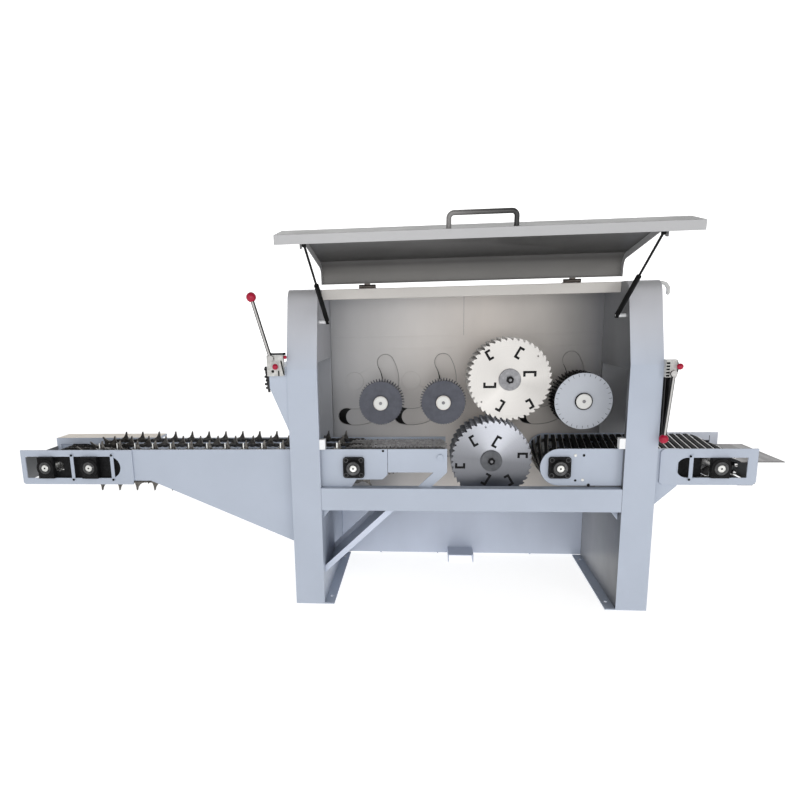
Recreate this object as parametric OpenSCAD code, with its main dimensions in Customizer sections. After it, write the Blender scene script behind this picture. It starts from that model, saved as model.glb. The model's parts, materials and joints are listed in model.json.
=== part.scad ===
// Multi rip saw with two arbours, a spiked chain infeed and a slat chain outfeed.
// +X is the feed direction, +Y points to the back, +Z is up.
// The origin lies on the floor, midway between the four anchor holes.

/* [Body] */
// Width across both side frames
body_w = 1740; // [1640:10:1900]
// Depth of the side frames
body_d = 780; // [760:10:900]
// Height of the side frames
body_h = 1578; // [1540:2:1640]
// Width of one side frame seen from the front
side_w = 147; // [120:1:170]
// Sheet thickness of frames and panels
sheet_t = 6; // [4:0.5:8]
// Height where the front starts to lean back
bend_z = 1200; // [1150:10:1250]
// Lean of the upper front, degrees
lean_deg = 16; // [12:1:18]
// Radius of the top front corner
top_r = 70; // [50:5:90]
// Underside of the lower beam
beam_z = 500; // [460:5:510]
// Height of the lower beam
beam_h = 114; // [90:2:116]
// Depth of the lower beam
beam_d = 60; // [40:5:60]
// Height and depth of the top beam
top_beam_h = 50; // [40:2:60]
// Distance from the body's front to the top beam
top_beam_back = 225; // [210:5:260]
// Distance between anchor holes along the depth
anchor_y = 600; // [500:10:640]
// Anchor hole radius
anchor_r = 9; // [6:0.5:12]
// Width of the foot flange that holds the anchors
foot_w = 50; // [40:2:70]

/* [Conveyors] */
// Height of the conveyor plates' top edge
deck_z = 803; // [790:1:830]
// Height of the conveyor plates
plate_h = 181; // [178:1:188]
// Thickness of a conveyor plate
plate_t = 8; // [6:0.5:10]
// Distance from the body's front to the front plate
plate_back = 40; // [38:1:48]
// Clear width between the infeed plates
feed_w = 333; // [320:1:345]
// Clear width between the outfeed plates
out_feed_w = 429; // [420:1:440]
// Length of the infeed outside the body
infeed_out = 1436; // [1300:4:1600]
// Length of the infeed tail plates
infeed_tail = 602; // [560:2:640]
// Length of the outfeed outside the body
outfeed_out = 461; // [440:2:560]
// Length of the outfeed tail plates
outfeed_tail = 436; // [420:2:440]
// Radius of the conveyor shafts
shaft_r = 18; // [14:0.5:22]
// Side of a square flange bearing
bearing_w = 105; // [90:1:116]
// Spacing of the spikes along the infeed chain
spike_pitch = 95.25; // [70:0.05:110]
// Height of a spike above the chain
spike_h = 42; // [30:1:50]
// Spacing of the outfeed slats
slat_pitch = 47.6; // [38:0.1:56]
// Strands of spiked chain
strands = 3; // [2:1:3]

/* [Sawing] */
// Saw blade diameter
blade_d = 405; // [360:1:406]
// Saw blade thickness
blade_t = 4; // [3:0.1:5]
// Teeth on a blade
blade_teeth = 42; // [24:2:60]
// Blades on each arbour
blade_count = 6; // [3:1:6]
// Spacing of the blades
blade_pitch = 48; // [30:1:52]
// Arbour radius
arbor_r = 30; // [24:0.5:36]
// Upper arbour, across
upper_arbor_x = 202; // [190:1:215]
// Gap between the rims of the upper and lower blades
blade_gap = 7; // [4:0.5:14]
// Lower arbour, across and up
lower_arbor_x = 121; // [112:1:130]
lower_arbor_z = 722; // [714:1:726]
// Distance from the body's front to the first blade
blade_back = 150; // [140:1:160]

/* [Press rollers] */
// Radius of the two infeed press rollers
press_r = 110; // [90:1:112]
// Radius of the outfeed press roller
out_press_r = 138; // [110:1:140]
// Length of the press rollers
press_l = 200; // [150:5:230]
// Length of a swing arm between its pivot and the roller
arm_l = 185; // [176:1:190]
// Angle of the swing arms at rest, below level, degrees
arm_rest = 25; // [22:1:30]
// Height of the swing arm pivots
pivot_z = 1092; // [1085:1:1100]
// Roller axle radius
axle_r = 20; // [14:0.5:24]

/* [Lid] */
// Opening angle of the lid at rest, degrees
lid_open = 83; // [70:1:88]
// Lid sheet thickness
lid_t = 3; // [2:0.5:4]
// Flat length of the closed lid in front of its hinge edge
lid_flat = 40; // [30:1:60]
// Half width of the wide lower band
band_half = 760; // [740:2:800]
// Height of the lower band
band_h = 156; // [120:2:170]
// Depth of the lower band's rim
band_d = 35; // [25:1:40]
// Lower edge of the closed lid
lid_low_z = 741; // [735:1:760]
// Gas spring tube radius
tube_r = 11; // [9:0.5:13]
// Gas spring tube length
tube_l = 340; // [300:5:360]
// Gas spring rod radius
rod_r = 5; // [4:0.5:6]

/* [Drive] */
// Radius of the arbour pulleys
arbor_pulley_r = 95; // [80:1:100]
// Radius of the motor pulleys
motor_pulley_r = 110; // [90:1:120]
// Grooves on a pulley
groove_count = 4; // [2:1:4]
// Radius of a main motor's body
motor_r = 170; // [140:2:180]
// Length of a main motor's body
motor_l = 380; // [300:5:450]
// Height of the motor base
motor_base_h = 130; // [100:5:150]

/* [Hidden] */
$fn = 48;
// Overrun of every cut past the surface that it opens
overrun = 1;
// Radial clearance of a running fit
run_gap = 0.06;
// Gap between parts that move past each other
side_gap = 0.5;

// Planes of the body
front_y = -body_d / 2;
back_y = body_d / 2;
half_w = body_w / 2;
inner_x = half_w - side_w;
beam_top = beam_z + beam_h;

// Planes of the conveyors
plate_y0 = front_y + plate_back;
plate_y1 = plate_y0 + plate_t;
plate_y2 = plate_y1 + feed_w;
plate_y3 = plate_y2 + plate_t;
out_plate_y2 = plate_y1 + out_feed_w;
out_plate_y3 = out_plate_y2 + plate_t;
shaft_z = deck_z - plate_h / 2;
plate_z = deck_z - plate_h;
tail_t = 8;
bearing_l = 34;
bearing_flange = 14;
bearing_boss_share = 0.36;
bearing_boss_r = bearing_w * bearing_boss_share;
bearing_corner_r = 14;
wall_gap = 1;
wall_y0 = out_plate_y3 + bearing_l + wall_gap;
wall_y1 = wall_y0 + sheet_t;

// Infeed stations, from the tail end to the nose
infeed_end_x = -half_w - infeed_out;
infeed_tail_x = infeed_end_x + infeed_tail;
tail_shaft_inset = 140;
idler_inset = 378;
tail_shaft_x = infeed_end_x + tail_shaft_inset;
idler_x = infeed_end_x + idler_inset;
drive_inset = 163;
drive_x = -inner_x + drive_inset;
infeed_inner = 330;
infeed_inner_x = -inner_x + infeed_inner;
bed_gap = 2;
bed_blade_gap = 19.5;
bed_x0 = infeed_inner_x + bed_gap;
bed_x1 = lower_arbor_x - blade_d / 2 - bed_blade_gap;
nose_inset = 34;
nose_x = bed_x1 - nose_inset;
nose_drop = 41;
nose_z = deck_z - nose_drop;
nose_r = 12;

// Outfeed stations
out_drive_gap = 110.5;
out_drive_x = lower_arbor_x + blade_d / 2 + out_drive_gap;
outfeed_end_x = half_w + outfeed_out;
outfeed_tail_x = outfeed_end_x - outfeed_tail;
out_main = 110;
out_tail_inset = 167;
out_tail_x = outfeed_end_x - out_tail_inset;

// Chain loops, as radii about the shafts
chain_in = 70;
chain_out = 90;
lead_chain_in = 74;
lead_chain_out = 96;
chain_w = 10;
sprocket_gap = 0.4;
sprocket_w = 8;
first_strand = 24;
last_strand = 22;
strand_pitch = (feed_w - first_strand - last_strand) / (strands - 1);
spike_base = 34;
spike_tip_w = 5;
spike_tip_share = 0.86;
spike_root = 3;
bed_chain_t = 12;
bed_chain_r = 86;
bed_nose_r = 38;
bed_tooth_h = 5;
bed_tooth_pitch = 19.05;
slat_chain_in = 64;
slat_chain_out = 79;
slat_t = 9;
slat_w = 24;
slat_end_gap = 6;

// Side frame openings
opening_gap = 1;
spike_clear = 12;
infeed_open_low = shaft_z - chain_out - spike_h - spike_clear;
infeed_open_top = 1230;
outfeed_open_top = 1176;

// Sawing
blade_y0 = front_y + blade_back;
arbor_side = upper_arbor_x - lower_arbor_x;
upper_arbor_z = lower_arbor_z + sqrt(pow(blade_d + blade_gap, 2) - pow(arbor_side, 2));
clamp_r = 53;
clamp_t = 14;
nut_r = 18;
nut_t = 12;
spacer_r = 46;
tooth_depth = 14;
housing_r = 75;
housing_l = 90;
back_housing_l = 60;
housing_hole_gap = 10;

// Press rollers
press_back = 170;
press_y0 = front_y + press_back;
arm_reach = arm_l * cos(arm_rest);
arm_drop = arm_l * sin(arm_rest);
press_blade_gap = 7.5;
out_press_blade_gap = 18.5;
press_pitch = 313;
press_2_x = upper_arbor_x - blade_d / 2 - press_blade_gap - press_r;
press_1_x = press_2_x - press_pitch;
press_3_x = upper_arbor_x + blade_d / 2 + out_press_blade_gap + out_press_r;
press_xs = [press_1_x, press_2_x, press_3_x];
press_pivot_xs = [for (x = press_xs) x - arm_reach];
press_z = pivot_z - arm_drop;
slot_low_deg = -104;
slot_high_deg = 30;
slot_r = 200;
slot_half = 47;
cover_low_deg = -67;
cover_high_deg = 80;
cover_lap = 5;
cover_t = 4;
cover_gap = 2;
arm_t = 14;
arm_w = 60;
arm_hub_r = 48;
pivot_pin_r = 20;
pivot_disc_r = 50;
pivot_disc_t = 3;
press_teeth = 64;
press_tooth = 5;
out_press_ribs = 30;
out_rib_h = 14;
out_disc_t = 8;
washer_r = 36;
washer_t = 10;

// Lid, worked out closed and then turned open about the hinge
hinge_back = 222;
hinge_rise = 10;
hinge_y = front_y + hinge_back;
hinge_z = body_h + hinge_rise;
lid_rise = 6;
lid_top_z = body_h + lid_rise;
lid_edge_gap = 14;
lid_edge_y = hinge_y - lid_edge_gap;
lid_side_gap = 8;
lid_half = inner_x - lid_side_gap;
lid_r = top_r + lid_rise;
lid_flange = 30;
lid_lip = 12;
band_clear = 2;
band_tip = 14;
band_low_y = front_y - band_clear - band_d;
band_top_y = band_low_y - band_tip;
band_top_z = lid_low_z + band_h;
lid_corner_y = lid_edge_y - lid_flat;
lid_corner_z = lid_top_z - lid_r;
lid_rake = [lid_corner_y - band_top_y, lid_corner_z - band_top_z];
lid_lean = atan2(lid_rake[0], lid_rake[1]) - asin(lid_r / norm(lid_rake));
hinge_xs_share = 0.68;
hinge_w = 84;
knuckle_r = 8;
hinge_pin_r = 4;
leaf_t = 3;
leaf_l = 44;
handle_half = 118;
handle_h = 62;
handle_r = 8;
handle_share = 0.18;
spring_side = 41;
spring_x = inner_x - spring_side;
spring_low_back = 125;
spring_low_y = front_y + spring_low_back;
spring_low_drop = 157;
spring_low_z = body_h - spring_low_drop;
spring_high_back = 5;
spring_high_y = front_y + spring_high_back;
spring_arm = 650;
spring_high_z = hinge_z - spring_arm;
stud_r = 6;
stud_sleeve_r = 9;
eye_r = 12;
rod_eye_r = 9;
eye_w = 14;
rod_hold = 60;
bracket_gap = 0.5;
bracket_t = 8;
bracket_w = 30;

// Drive behind the back panel
pulley_w = 80;
pulley_gap = 16;
pulley_y = back_y + pulley_gap;
groove_w = 14;
groove_depth = 12;
belt_gap = 0.5;
belt_t = 10;
guard_d = 110;
guard_t = 3;
guard_margin = 40;
motor_gap = 4;
motor_y = back_y + guard_d + motor_gap;
motor_shaft_r = 24;
motor_axis_h = 200;
motor_z = motor_base_h + motor_axis_h;
upper_motor_x = 600;
lower_motor_x = -310;
motor_shaft_in = 20;

// Plain helpers
module block(low, high) {
    translate(low) cube(high - low);
}
module extrude_x(x, length) {
    translate([x, 0, 0]) rotate([90, 0, 90]) linear_extrude(length) children();
}
module extrude_y(y, length) {
    translate([0, y + length, 0]) rotate([90, 0, 0]) linear_extrude(length) children();
}
module rod_y(x, z, y, length, r) {
    translate([x, y + length, z]) rotate([90, 0, 0]) cylinder(r = r, h = length);
}
module rod_x(x, y, z, length, r) {
    translate([x, y, z]) rotate([0, 90, 0]) cylinder(r = r, h = length);
}
module hex_y(x, z, y, length, r) {
    translate([x, y + length, z]) rotate([90, 0, 0]) cylinder(r = r, h = length, $fn = 6);
}
module both_sides() {
    children();
    mirror([1, 0, 0]) children();
}
function reversed(list) = [for (i = [len(list) - 1:-1:0]) list[i]];
function spot(angle, r) = [r * cos(angle), r * sin(angle)];

// Area inside a belt or chain that runs round two circles
arc_count = 36;
function arc(center, r, from, to, steps = arc_count) =
    [for (i = [0:steps]) center + spot(from + (to - from) * i / steps, r)];
module loop_area(a, b, ra, rb) {
    gap = b - a;
    toward = atan2(gap[1], gap[0]);
    tangent = acos((ra - rb) / norm(gap));
    polygon(concat(
        arc(a, ra, toward + tangent, toward + 360 - tangent),
        arc(b, rb, toward - tangent, toward + tangent)
    ));
}
module loop_ring(a, b, ra, rb, t) {
    difference() {
        loop_area(a, b, ra, rb);
        loop_area(a, b, ra - t, rb - t);
    }
}

// Square plate with round corners
arc_steps = 10;
module round_square(center, w, r) {
    reach = (w / 2 - r) * sqrt(2);
    polygon([
        for (k = [0:3]) each arc(center + spot(45 + 90 * k, reach), r, 90 * k, 90 * (k + 1), arc_steps)
    ]);
}

// Side frames
function round_corner(y, z, lean, r) =
    [for (i = [0:arc_steps]) [y, z] + spot(180 - lean - (90 - lean) * i / arc_steps, r)];
function frame_outline(inset, low) = let (
    top = body_h - inset,
    y = front_y + inset,
    r = top_r - inset,
    center_z = top - r,
    center_y = y + (center_z - bend_z) * tan(lean_deg) + r / cos(lean_deg)
) concat(
    [[y, low], [y, bend_z]],
    round_corner(center_y, center_z, lean_deg, r),
    [[back_y - inset, top], [back_y - inset, low]]
);
module side_opening(grow, low, top) {
    block([-half_w - overrun, plate_y0 - opening_gap - tail_t - grow, low - grow],
        [-inner_x + overrun, out_plate_y3 + opening_gap + tail_t + grow, top + grow]);
}
module side_frame(low, top) {
    difference() {
        union() {
            extrude_x(-half_w, side_w) polygon(frame_outline(0, 0));
            block([-inner_x, front_y, 0], [-inner_x + foot_w, back_y - sheet_t, sheet_t]);
        }
        difference() {
            extrude_x(-half_w + sheet_t, side_w - 2 * sheet_t) polygon(frame_outline(sheet_t, sheet_t));
            side_opening(sheet_t, low, top);
        }
        side_opening(0, low, top);
        for (s = [-1, 1])
            translate([-inner_x + foot_w / 2, s * anchor_y / 2, -overrun])
                cylinder(r = anchor_r, h = sheet_t + 2 * overrun);
    }
}
module side_frame_left() {
    color("lightsteelblue") side_frame(infeed_open_low, infeed_open_top);
}
module side_frame_right() {
    color("lightsteelblue") mirror([1, 0, 0]) side_frame(plate_z, outfeed_open_top);
}

// Beams and panels
gusset_w = 45;
gusset_h = 55;
module box_beam(low, high) {
    wall = [sheet_t, sheet_t, sheet_t];
    open_ends = [sheet_t + overrun, 0, 0];
    difference() {
        block(low, high);
        block(low + wall - open_ends, high - wall + open_ends);
    }
}
module lower_beam() {
    color("lightsteelblue") {
        box_beam([-inner_x, front_y, beam_z], [inner_x, front_y + beam_d, beam_top]);
        both_sides() extrude_y(front_y + beam_d - sheet_t, sheet_t) polygon([
            [inner_x, beam_z], [inner_x, beam_z - gusset_h], [inner_x - gusset_w, beam_z]
        ]);
    }
}
top_beam_y = front_y + top_beam_back;
module top_beam() {
    color("gainsboro") box_beam([-inner_x, top_beam_y, body_h - top_beam_h],
        [inner_x, top_beam_y + top_beam_h, body_h]);
}
module roof_panel() {
    color("lightsteelblue")
        block([-inner_x, top_beam_y + top_beam_h, body_h - sheet_t], [inner_x, back_y - sheet_t, body_h]);
}
wall_drop = 20;
wall_low = beam_z - wall_drop;
module roller_slot(x) {
    turn = slot_high_deg - slot_low_deg;
    translate([x, wall_y1 + overrun, pivot_z]) rotate([90, 0, 0]) {
        rotate([0, 0, slot_low_deg]) rotate_extrude(angle = turn)
            translate([slot_r - slot_half, 0]) square([2 * slot_half, sheet_t + 2 * overrun]);
        for (a = [slot_low_deg, slot_high_deg])
            translate(spot(a, slot_r)) cylinder(r = slot_half, h = sheet_t + 2 * overrun);
    }
}
shaft_hole_gap = 4;
pivot_pin_l = 36;
module rear_wall() {
    color("silver") {
        difference() {
            block([-inner_x, wall_y0, wall_low], [inner_x, wall_y1, body_h - sheet_t]);
            for (x = press_pivot_xs) roller_slot(x);
            rod_y(upper_arbor_x, upper_arbor_z, wall_y0 - overrun, sheet_t + 2 * overrun,
                arbor_r + housing_hole_gap);
            rod_y(lower_arbor_x, lower_arbor_z, wall_y0 - overrun, sheet_t + 2 * overrun,
                arbor_r + housing_hole_gap);
            for (x = [drive_x, out_drive_x])
                rod_y(x, shaft_z, wall_y0 - overrun, sheet_t + 2 * overrun, shaft_r + shaft_hole_gap);
        }
        for (x = press_pivot_xs) {
            rod_y(x, pivot_z, wall_y0 - pivot_disc_t, pivot_disc_t, pivot_disc_r);
            rod_y(x, pivot_z, wall_y0, sheet_t + pivot_pin_l, pivot_pin_r);
        }
    }
}
panel_low = 8;
module back_sheet() {
    color("lightsteelblue") difference() {
        block([-inner_x, back_y - sheet_t, panel_low], [inner_x, back_y, body_h]);
        rod_y(upper_arbor_x, upper_arbor_z, back_y - sheet_t - overrun, sheet_t + 2 * overrun,
            arbor_r + housing_hole_gap);
        rod_y(lower_arbor_x, lower_arbor_z, back_y - sheet_t - overrun, sheet_t + 2 * overrun,
            arbor_r + housing_hole_gap);
    }
}
foot_half = 75;
foot_l = 142;
foot_h = 46;
module centre_foot() {
    color("lightsteelblue") difference() {
        block([-foot_half, back_y - sheet_t - foot_l, 0], [foot_half, back_y - sheet_t, foot_h]);
        block([-foot_half + sheet_t, back_y - sheet_t - foot_l - overrun, -overrun],
            [foot_half - sheet_t, back_y - sheet_t + overrun, foot_h - sheet_t]);
    }
}
chute_top_x = -348;
chute_back = 60;
chute_y0 = front_y + chute_back;
chute_l = 360;
chute_rim = 40;
chute_t = 5;
chute_low_z = 150;
module chute_area(w) {
    slope = (beam_z - chute_low_z) / (chute_top_x + inner_x);
    polygon([
        [chute_top_x, beam_z], [chute_top_x - w, beam_z],
        [-inner_x, chute_low_z + w * slope], [-inner_x, chute_low_z]
    ]);
}
module sawdust_chute() {
    color("lightsteelblue") {
        extrude_y(chute_y0, lid_t) chute_area(chute_rim);
        extrude_y(chute_y0 + chute_l - lid_t, lid_t) chute_area(chute_rim);
        extrude_y(chute_y0, chute_l) chute_area(chute_t);
    }
}
module back_panel() {
    back_sheet();
    centre_foot();
}

// Infeed frame
plate_low_rise = 19;
plate_low_z = plate_z + plate_low_rise;
plate_flat = 90;
plate_deep_z = 322;
inner_step = 28;
inner_slant = 25;
inner_low_rise = 36;
inner_low_z = beam_top + inner_low_rise;
inner_chamfer = 25;
tie_h = 40;
tie_w = 40;
rail_w = 14;
rail_h = 30;
rail_inset = 78;
tie_xs_share = [0.18, 0.52, 0.86];
function strand_y(i) = plate_y1 + first_strand + i * strand_pitch;
module infeed_plate() {
    polygon([
        [infeed_tail_x, deck_z],
        [infeed_tail_x, plate_low_z],
        [infeed_tail_x + plate_flat, plate_low_z],
        [-half_w, plate_deep_z],
        [-half_w, infeed_open_low],
        [-inner_x, infeed_open_low],
        [-inner_x, beam_top],
        [drive_x - inner_slant / 2, beam_top],
        [drive_x + inner_slant / 2, inner_low_z],
        [infeed_inner_x - inner_chamfer, inner_low_z],
        [infeed_inner_x, inner_low_z + inner_chamfer],
        [infeed_inner_x, deck_z]
    ]);
}
module shaft_cut(x, z, r) {
    rod_y(x, z, plate_y0 - tail_t - overrun, out_plate_y3 - plate_y0 + 2 * tail_t + 2 * overrun, r);
}
module infeed_frame() {
    rail_top = shaft_z + chain_in;
    rail_x0 = infeed_tail_x - rail_inset;
    rail_x1 = drive_x - rail_inset;
    color("lightsteelblue") difference() {
        union() {
            extrude_y(plate_y0, plate_t) infeed_plate();
            extrude_y(plate_y2, plate_t) infeed_plate();
            for (s = tie_xs_share) {
                x = infeed_tail_x + s * (rail_x1 - infeed_tail_x);
                block([x, plate_y1, rail_top - rail_h - tie_h], [x + tie_w, plate_y2, rail_top - rail_h]);
            }
            for (i = [0:strands - 1])
                block([rail_x0, strand_y(i) - rail_w / 2, rail_top - rail_h],
                    [rail_x1, strand_y(i) + rail_w / 2, rail_top]);
        }
        shaft_cut(drive_x, shaft_z, shaft_r + shaft_hole_gap);
    }
}

// Tail plates with the take-up windows
side_table_d = 130;
side_table_t = 12;
tail_chamfer = 10;
window_h = 113;
window_inset = 25;
window_end_inset = 64;
strap_w = 18;
strap_t = 5;
strap_lap = 14;
strap_inset = 282;
strap_two_inset = 498;
module window_area(x0, x1) {
    r = window_h / 2;
    translate([x0, shaft_z - r]) square([x1 - x0 - r, window_h]);
    translate([x1 - r, shaft_z]) circle(r);
}
module strap(x, y) {
    r = window_h / 2 + strap_lap;
    block([x - strap_w / 2, y, shaft_z - r], [x + strap_w / 2, y + strap_t, shaft_z + r]);
}
module infeed_tail_area() {
    difference() {
        polygon([
            [infeed_end_x, deck_z],
            [infeed_end_x, plate_z + tail_chamfer],
            [infeed_end_x + tail_chamfer, plate_z],
            [infeed_tail_x, plate_z],
            [infeed_tail_x, deck_z]
        ]);
        window_area(infeed_end_x + window_inset, infeed_tail_x - window_end_inset);
    }
}
tail_lap = 90;
module infeed_tail_plates() {
    color("lightsteelblue") {
        for (y = [plate_y0 - tail_t, plate_y3]) extrude_y(y, tail_t) {
            infeed_tail_area();
            translate([infeed_tail_x, plate_low_z]) square([tail_lap, deck_z - plate_low_z]);
        }
        block([infeed_end_x, plate_y3 + tail_t, deck_z - side_table_t],
            [infeed_tail_x, plate_y3 + tail_t + side_table_d, deck_z]);
        for (x = [strap_inset, strap_two_inset]) strap(infeed_end_x + x, plate_y0 - tail_t - strap_t);
    }
}

// Spiked infeed chain
end_spike_degs = [-45, 0, 45];
spike_start = 45;
module spike(x, z, turn) {
    tip_x = (spike_tip_share - 0.5) * spike_base;
    translate([x, z]) rotate(turn) polygon([
        [-spike_base / 2, chain_out - spike_root],
        [spike_base / 2, chain_out - spike_root],
        [tip_x + spike_tip_w / 2, chain_out + spike_h],
        [tip_x - spike_tip_w / 2, chain_out + spike_h]
    ]);
}
module spiked_strands() {
    run = drive_x - idler_x - spike_start;
    count = floor(run / spike_pitch);
    for (i = [0:strands - 1]) extrude_y(strand_y(i) - chain_w / 2, chain_w) {
        loop_ring([idler_x, shaft_z], [drive_x, shaft_z], chain_out, chain_out, chain_out - chain_in);
        for (k = [0:count]) {
            x = idler_x + spike_start + k * spike_pitch;
            spike(x, shaft_z, 0);
            spike(x, shaft_z, 180);
        }
        for (a = end_spike_degs) {
            spike(idler_x, shaft_z, 90 + a);
            spike(drive_x, shaft_z, a - 90);
        }
    }
}
module lead_strands() {
    for (y = bed_ys) extrude_y(y - chain_w / 2, chain_w)
        loop_ring([tail_shaft_x, shaft_z], [idler_x, shaft_z], lead_chain_out, lead_chain_out,
            lead_chain_out - lead_chain_in);
}
module infeed_chain() {
    color("dimgray") {
        spiked_strands();
        lead_strands();
    }
}

// Transition bed
bed_h = 117;
bed_leg_w = 66;
bed_leg_run = 76;
bed_tie_inset = 60;
module bed_area() {
    low = deck_z - bed_h;
    polygon([
        [bed_x0, deck_z], [bed_x1, deck_z], [bed_x1, low], [bed_x1 - bed_leg_run, beam_top],
        [bed_x1 - bed_leg_run - bed_leg_w, beam_top], [bed_x1 - bed_leg_w, low], [bed_x0, low]
    ]);
}
module transition_bed() {
    color("lightsteelblue") difference() {
        union() {
            extrude_y(plate_y0, plate_t) bed_area();
            extrude_y(plate_y2, plate_t) bed_area();
            block([bed_x0 + bed_tie_inset, plate_y1, nose_z - tie_h],
                [bed_x0 + bed_tie_inset + tie_w, plate_y2, nose_z]);
        }
        shaft_cut(nose_x, nose_z, nose_r + run_gap);
    }
}
bed_strands = 4;
function bed_strand_y(i) = strand_y(0) + (i + 0.5) * (strand_y(strands - 1) - strand_y(0)) / bed_strands;
module transition_chain() {
    teeth = floor((nose_x - drive_x) / bed_tooth_pitch);
    top = nose_z + bed_nose_r;
    color("dimgray") for (i = [0:bed_strands - 1]) extrude_y(bed_strand_y(i) - chain_w / 2, chain_w) {
        loop_ring([drive_x, shaft_z], [nose_x, nose_z], bed_chain_r, bed_nose_r, bed_chain_t);
        for (k = [0:teeth]) translate([drive_x + k * bed_tooth_pitch, top - spike_root]) polygon([
            [-bed_tooth_pitch / 4, -spike_root], [bed_tooth_pitch / 4, -spike_root],
            [0, bed_tooth_h + spike_root]
        ]);
    }
}

// Outfeed
out_gusset_h = 104;
out_corner = 14;
module outfeed_plate() {
    r = plate_h / 2;
    translate([out_drive_x, shaft_z]) circle(r);
    polygon([
        [out_drive_x, deck_z], [half_w + out_main, deck_z], [half_w + out_main, plate_z],
        [half_w, plate_z - out_gusset_h], [half_w, plate_z], [out_drive_x, plate_z]
    ]);
}
module outfeed_frame() {
    tie_z = shaft_z + slat_chain_in - rail_h - tie_h;
    tie_x = (out_drive_x + half_w) / 2;
    color("lightsteelblue") difference() {
        union() {
            extrude_y(plate_y0, plate_t) outfeed_plate();
            extrude_y(out_plate_y2, plate_t) outfeed_plate();
            for (x = [tie_x, half_w + out_main - tie_w])
                block([x, plate_y1, tie_z], [x + tie_w, out_plate_y2, tie_z + tie_h]);
            for (y = slat_chain_ys)
                block([tie_x, y - rail_w / 2, tie_z + tie_h],
                    [half_w + out_main, y + rail_w / 2, shaft_z + slat_chain_in]);
        }
        shaft_cut(out_drive_x, shaft_z, shaft_r + shaft_hole_gap);
    }
}
out_window_h = 96;
out_window_inset = 75;
out_window_end = 44;
out_strap_inset = 139;
out_tail_chamfer = 40;
module outfeed_tail_area() {
    r = out_window_h / 2;
    x0 = outfeed_tail_x + out_window_inset;
    x1 = outfeed_end_x - out_window_end;
    low = plate_z + out_corner / 2;
    difference() {
        polygon([
            [outfeed_tail_x, deck_z - out_corner], [outfeed_tail_x + out_corner, deck_z],
            [outfeed_end_x, deck_z], [outfeed_end_x, low + out_tail_chamfer],
            [outfeed_end_x - out_tail_chamfer, low], [outfeed_tail_x + out_corner, low],
            [outfeed_tail_x, low + out_corner]
        ]);
        translate([x0 + r, shaft_z - r]) square([x1 - x0 - r, out_window_h]);
        translate([x0 + r, shaft_z]) circle(r);
    }
}
module outfeed_tail_plates() {
    r = out_window_h / 2 + strap_lap;
    color("lightsteelblue") {
        for (y = [plate_y0 - tail_t, out_plate_y3]) extrude_y(y, tail_t) outfeed_tail_area();
        block([outfeed_tail_x + out_strap_inset - strap_w / 2, plate_y0 - tail_t - strap_t, shaft_z - r],
            [outfeed_tail_x + out_strap_inset + strap_w / 2, plate_y0 - tail_t, shaft_z + r]);
    }
}
slat_chain_inset = 90;
slat_chain_ys = [plate_y1 + slat_chain_inset, out_plate_y2 - slat_chain_inset];
module slat(x, z, turn) {
    translate([x, z]) rotate(turn) translate([-slat_w / 2, slat_chain_out - spike_root])
        square([slat_w, slat_t + spike_root]);
}
module outfeed_chain() {
    run = out_tail_x - out_drive_x;
    count = floor(run / slat_pitch);
    turn_count = 5;
    color("dimgray") {
        for (y = slat_chain_ys) extrude_y(y - chain_w / 2, chain_w)
            loop_ring([out_drive_x, shaft_z], [out_tail_x, shaft_z], slat_chain_out, slat_chain_out,
                slat_chain_out - slat_chain_in);
        extrude_y(plate_y1 + slat_end_gap, out_feed_w - 2 * slat_end_gap) {
            for (k = [0:count]) {
                x = out_drive_x + k * slat_pitch;
                slat(x, shaft_z, 0);
                slat(x, shaft_z, 180);
            }
            for (k = [1:turn_count]) {
                a = 180 * k / (turn_count + 1);
                slat(out_drive_x, shaft_z, a);
                slat(out_tail_x, shaft_z, -a);
            }
        }
    }
}
slide_t = 4;
slide_start = 94;
slide_out = 122;
slide_drop = 63;
module discharge_slide() {
    x0 = out_tail_x + slide_start;
    color("gainsboro") extrude_y(plate_y0, out_plate_y3 - plate_y0) polygon([
        [x0, deck_z - slide_drop - slide_t], [outfeed_end_x + slide_out, deck_z - slide_drop - slide_t],
        [outfeed_end_x + slide_out, deck_z - slide_drop], [x0, deck_z - slide_drop]
    ]);
}

// Hood, curtains, stops and hook
hood_out = 87;
hood_top_z = 1215;
hood_low_z = 1112;
hood_foot_z = 899;
hood_back = 5;
hood_y0 = front_y + hood_back;
hood_l = 500;
hood_t = 3;
module hood_side() {
    polygon([
        [-half_w, hood_top_z], [-half_w - hood_out, hood_top_z], [-half_w - hood_out, hood_low_z],
        [-half_w, hood_foot_z]
    ]);
}
module infeed_hood() {
    color("lightsteelblue") {
        for (y = [hood_y0, hood_y0 + hood_l - hood_t]) extrude_y(y, hood_t) hood_side();
        block([-half_w - hood_out, hood_y0, hood_top_z - hood_t], [-half_w, hood_y0 + hood_l, hood_top_z]);
        block([-half_w - hood_out, hood_y0, hood_low_z],
            [-half_w - hood_out + hood_t, hood_y0 + hood_l, hood_top_z]);
    }
}
strip_count = 8;
strip_gap = 2;
curtain_t = 5;
curtain_low_z = 905;
out_curtain_low_z = 868;
out_curtain_top_z = 1148;
out_curtain_out = 12;
out_curtain_step = 22;
curtain_back = 14;
curtain_y0 = front_y + curtain_back;
curtain_l = 474;
module strips(x, low, top) {
    pitch = (curtain_l + strip_gap) / strip_count;
    for (i = [0:strip_count - 1])
        block([x, curtain_y0 + i * pitch, low],
            [x + curtain_t, curtain_y0 + (i + 1) * pitch - strip_gap, top]);
}
module infeed_curtain() {
    x = -half_w - hood_out - curtain_t;
    color("black") {
        strips(x, curtain_low_z, hood_top_z - hood_t);
        block([x - curtain_t, curtain_y0, hood_low_z], [x, curtain_y0 + curtain_l, hood_top_z - hood_t]);
    }
}
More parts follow.
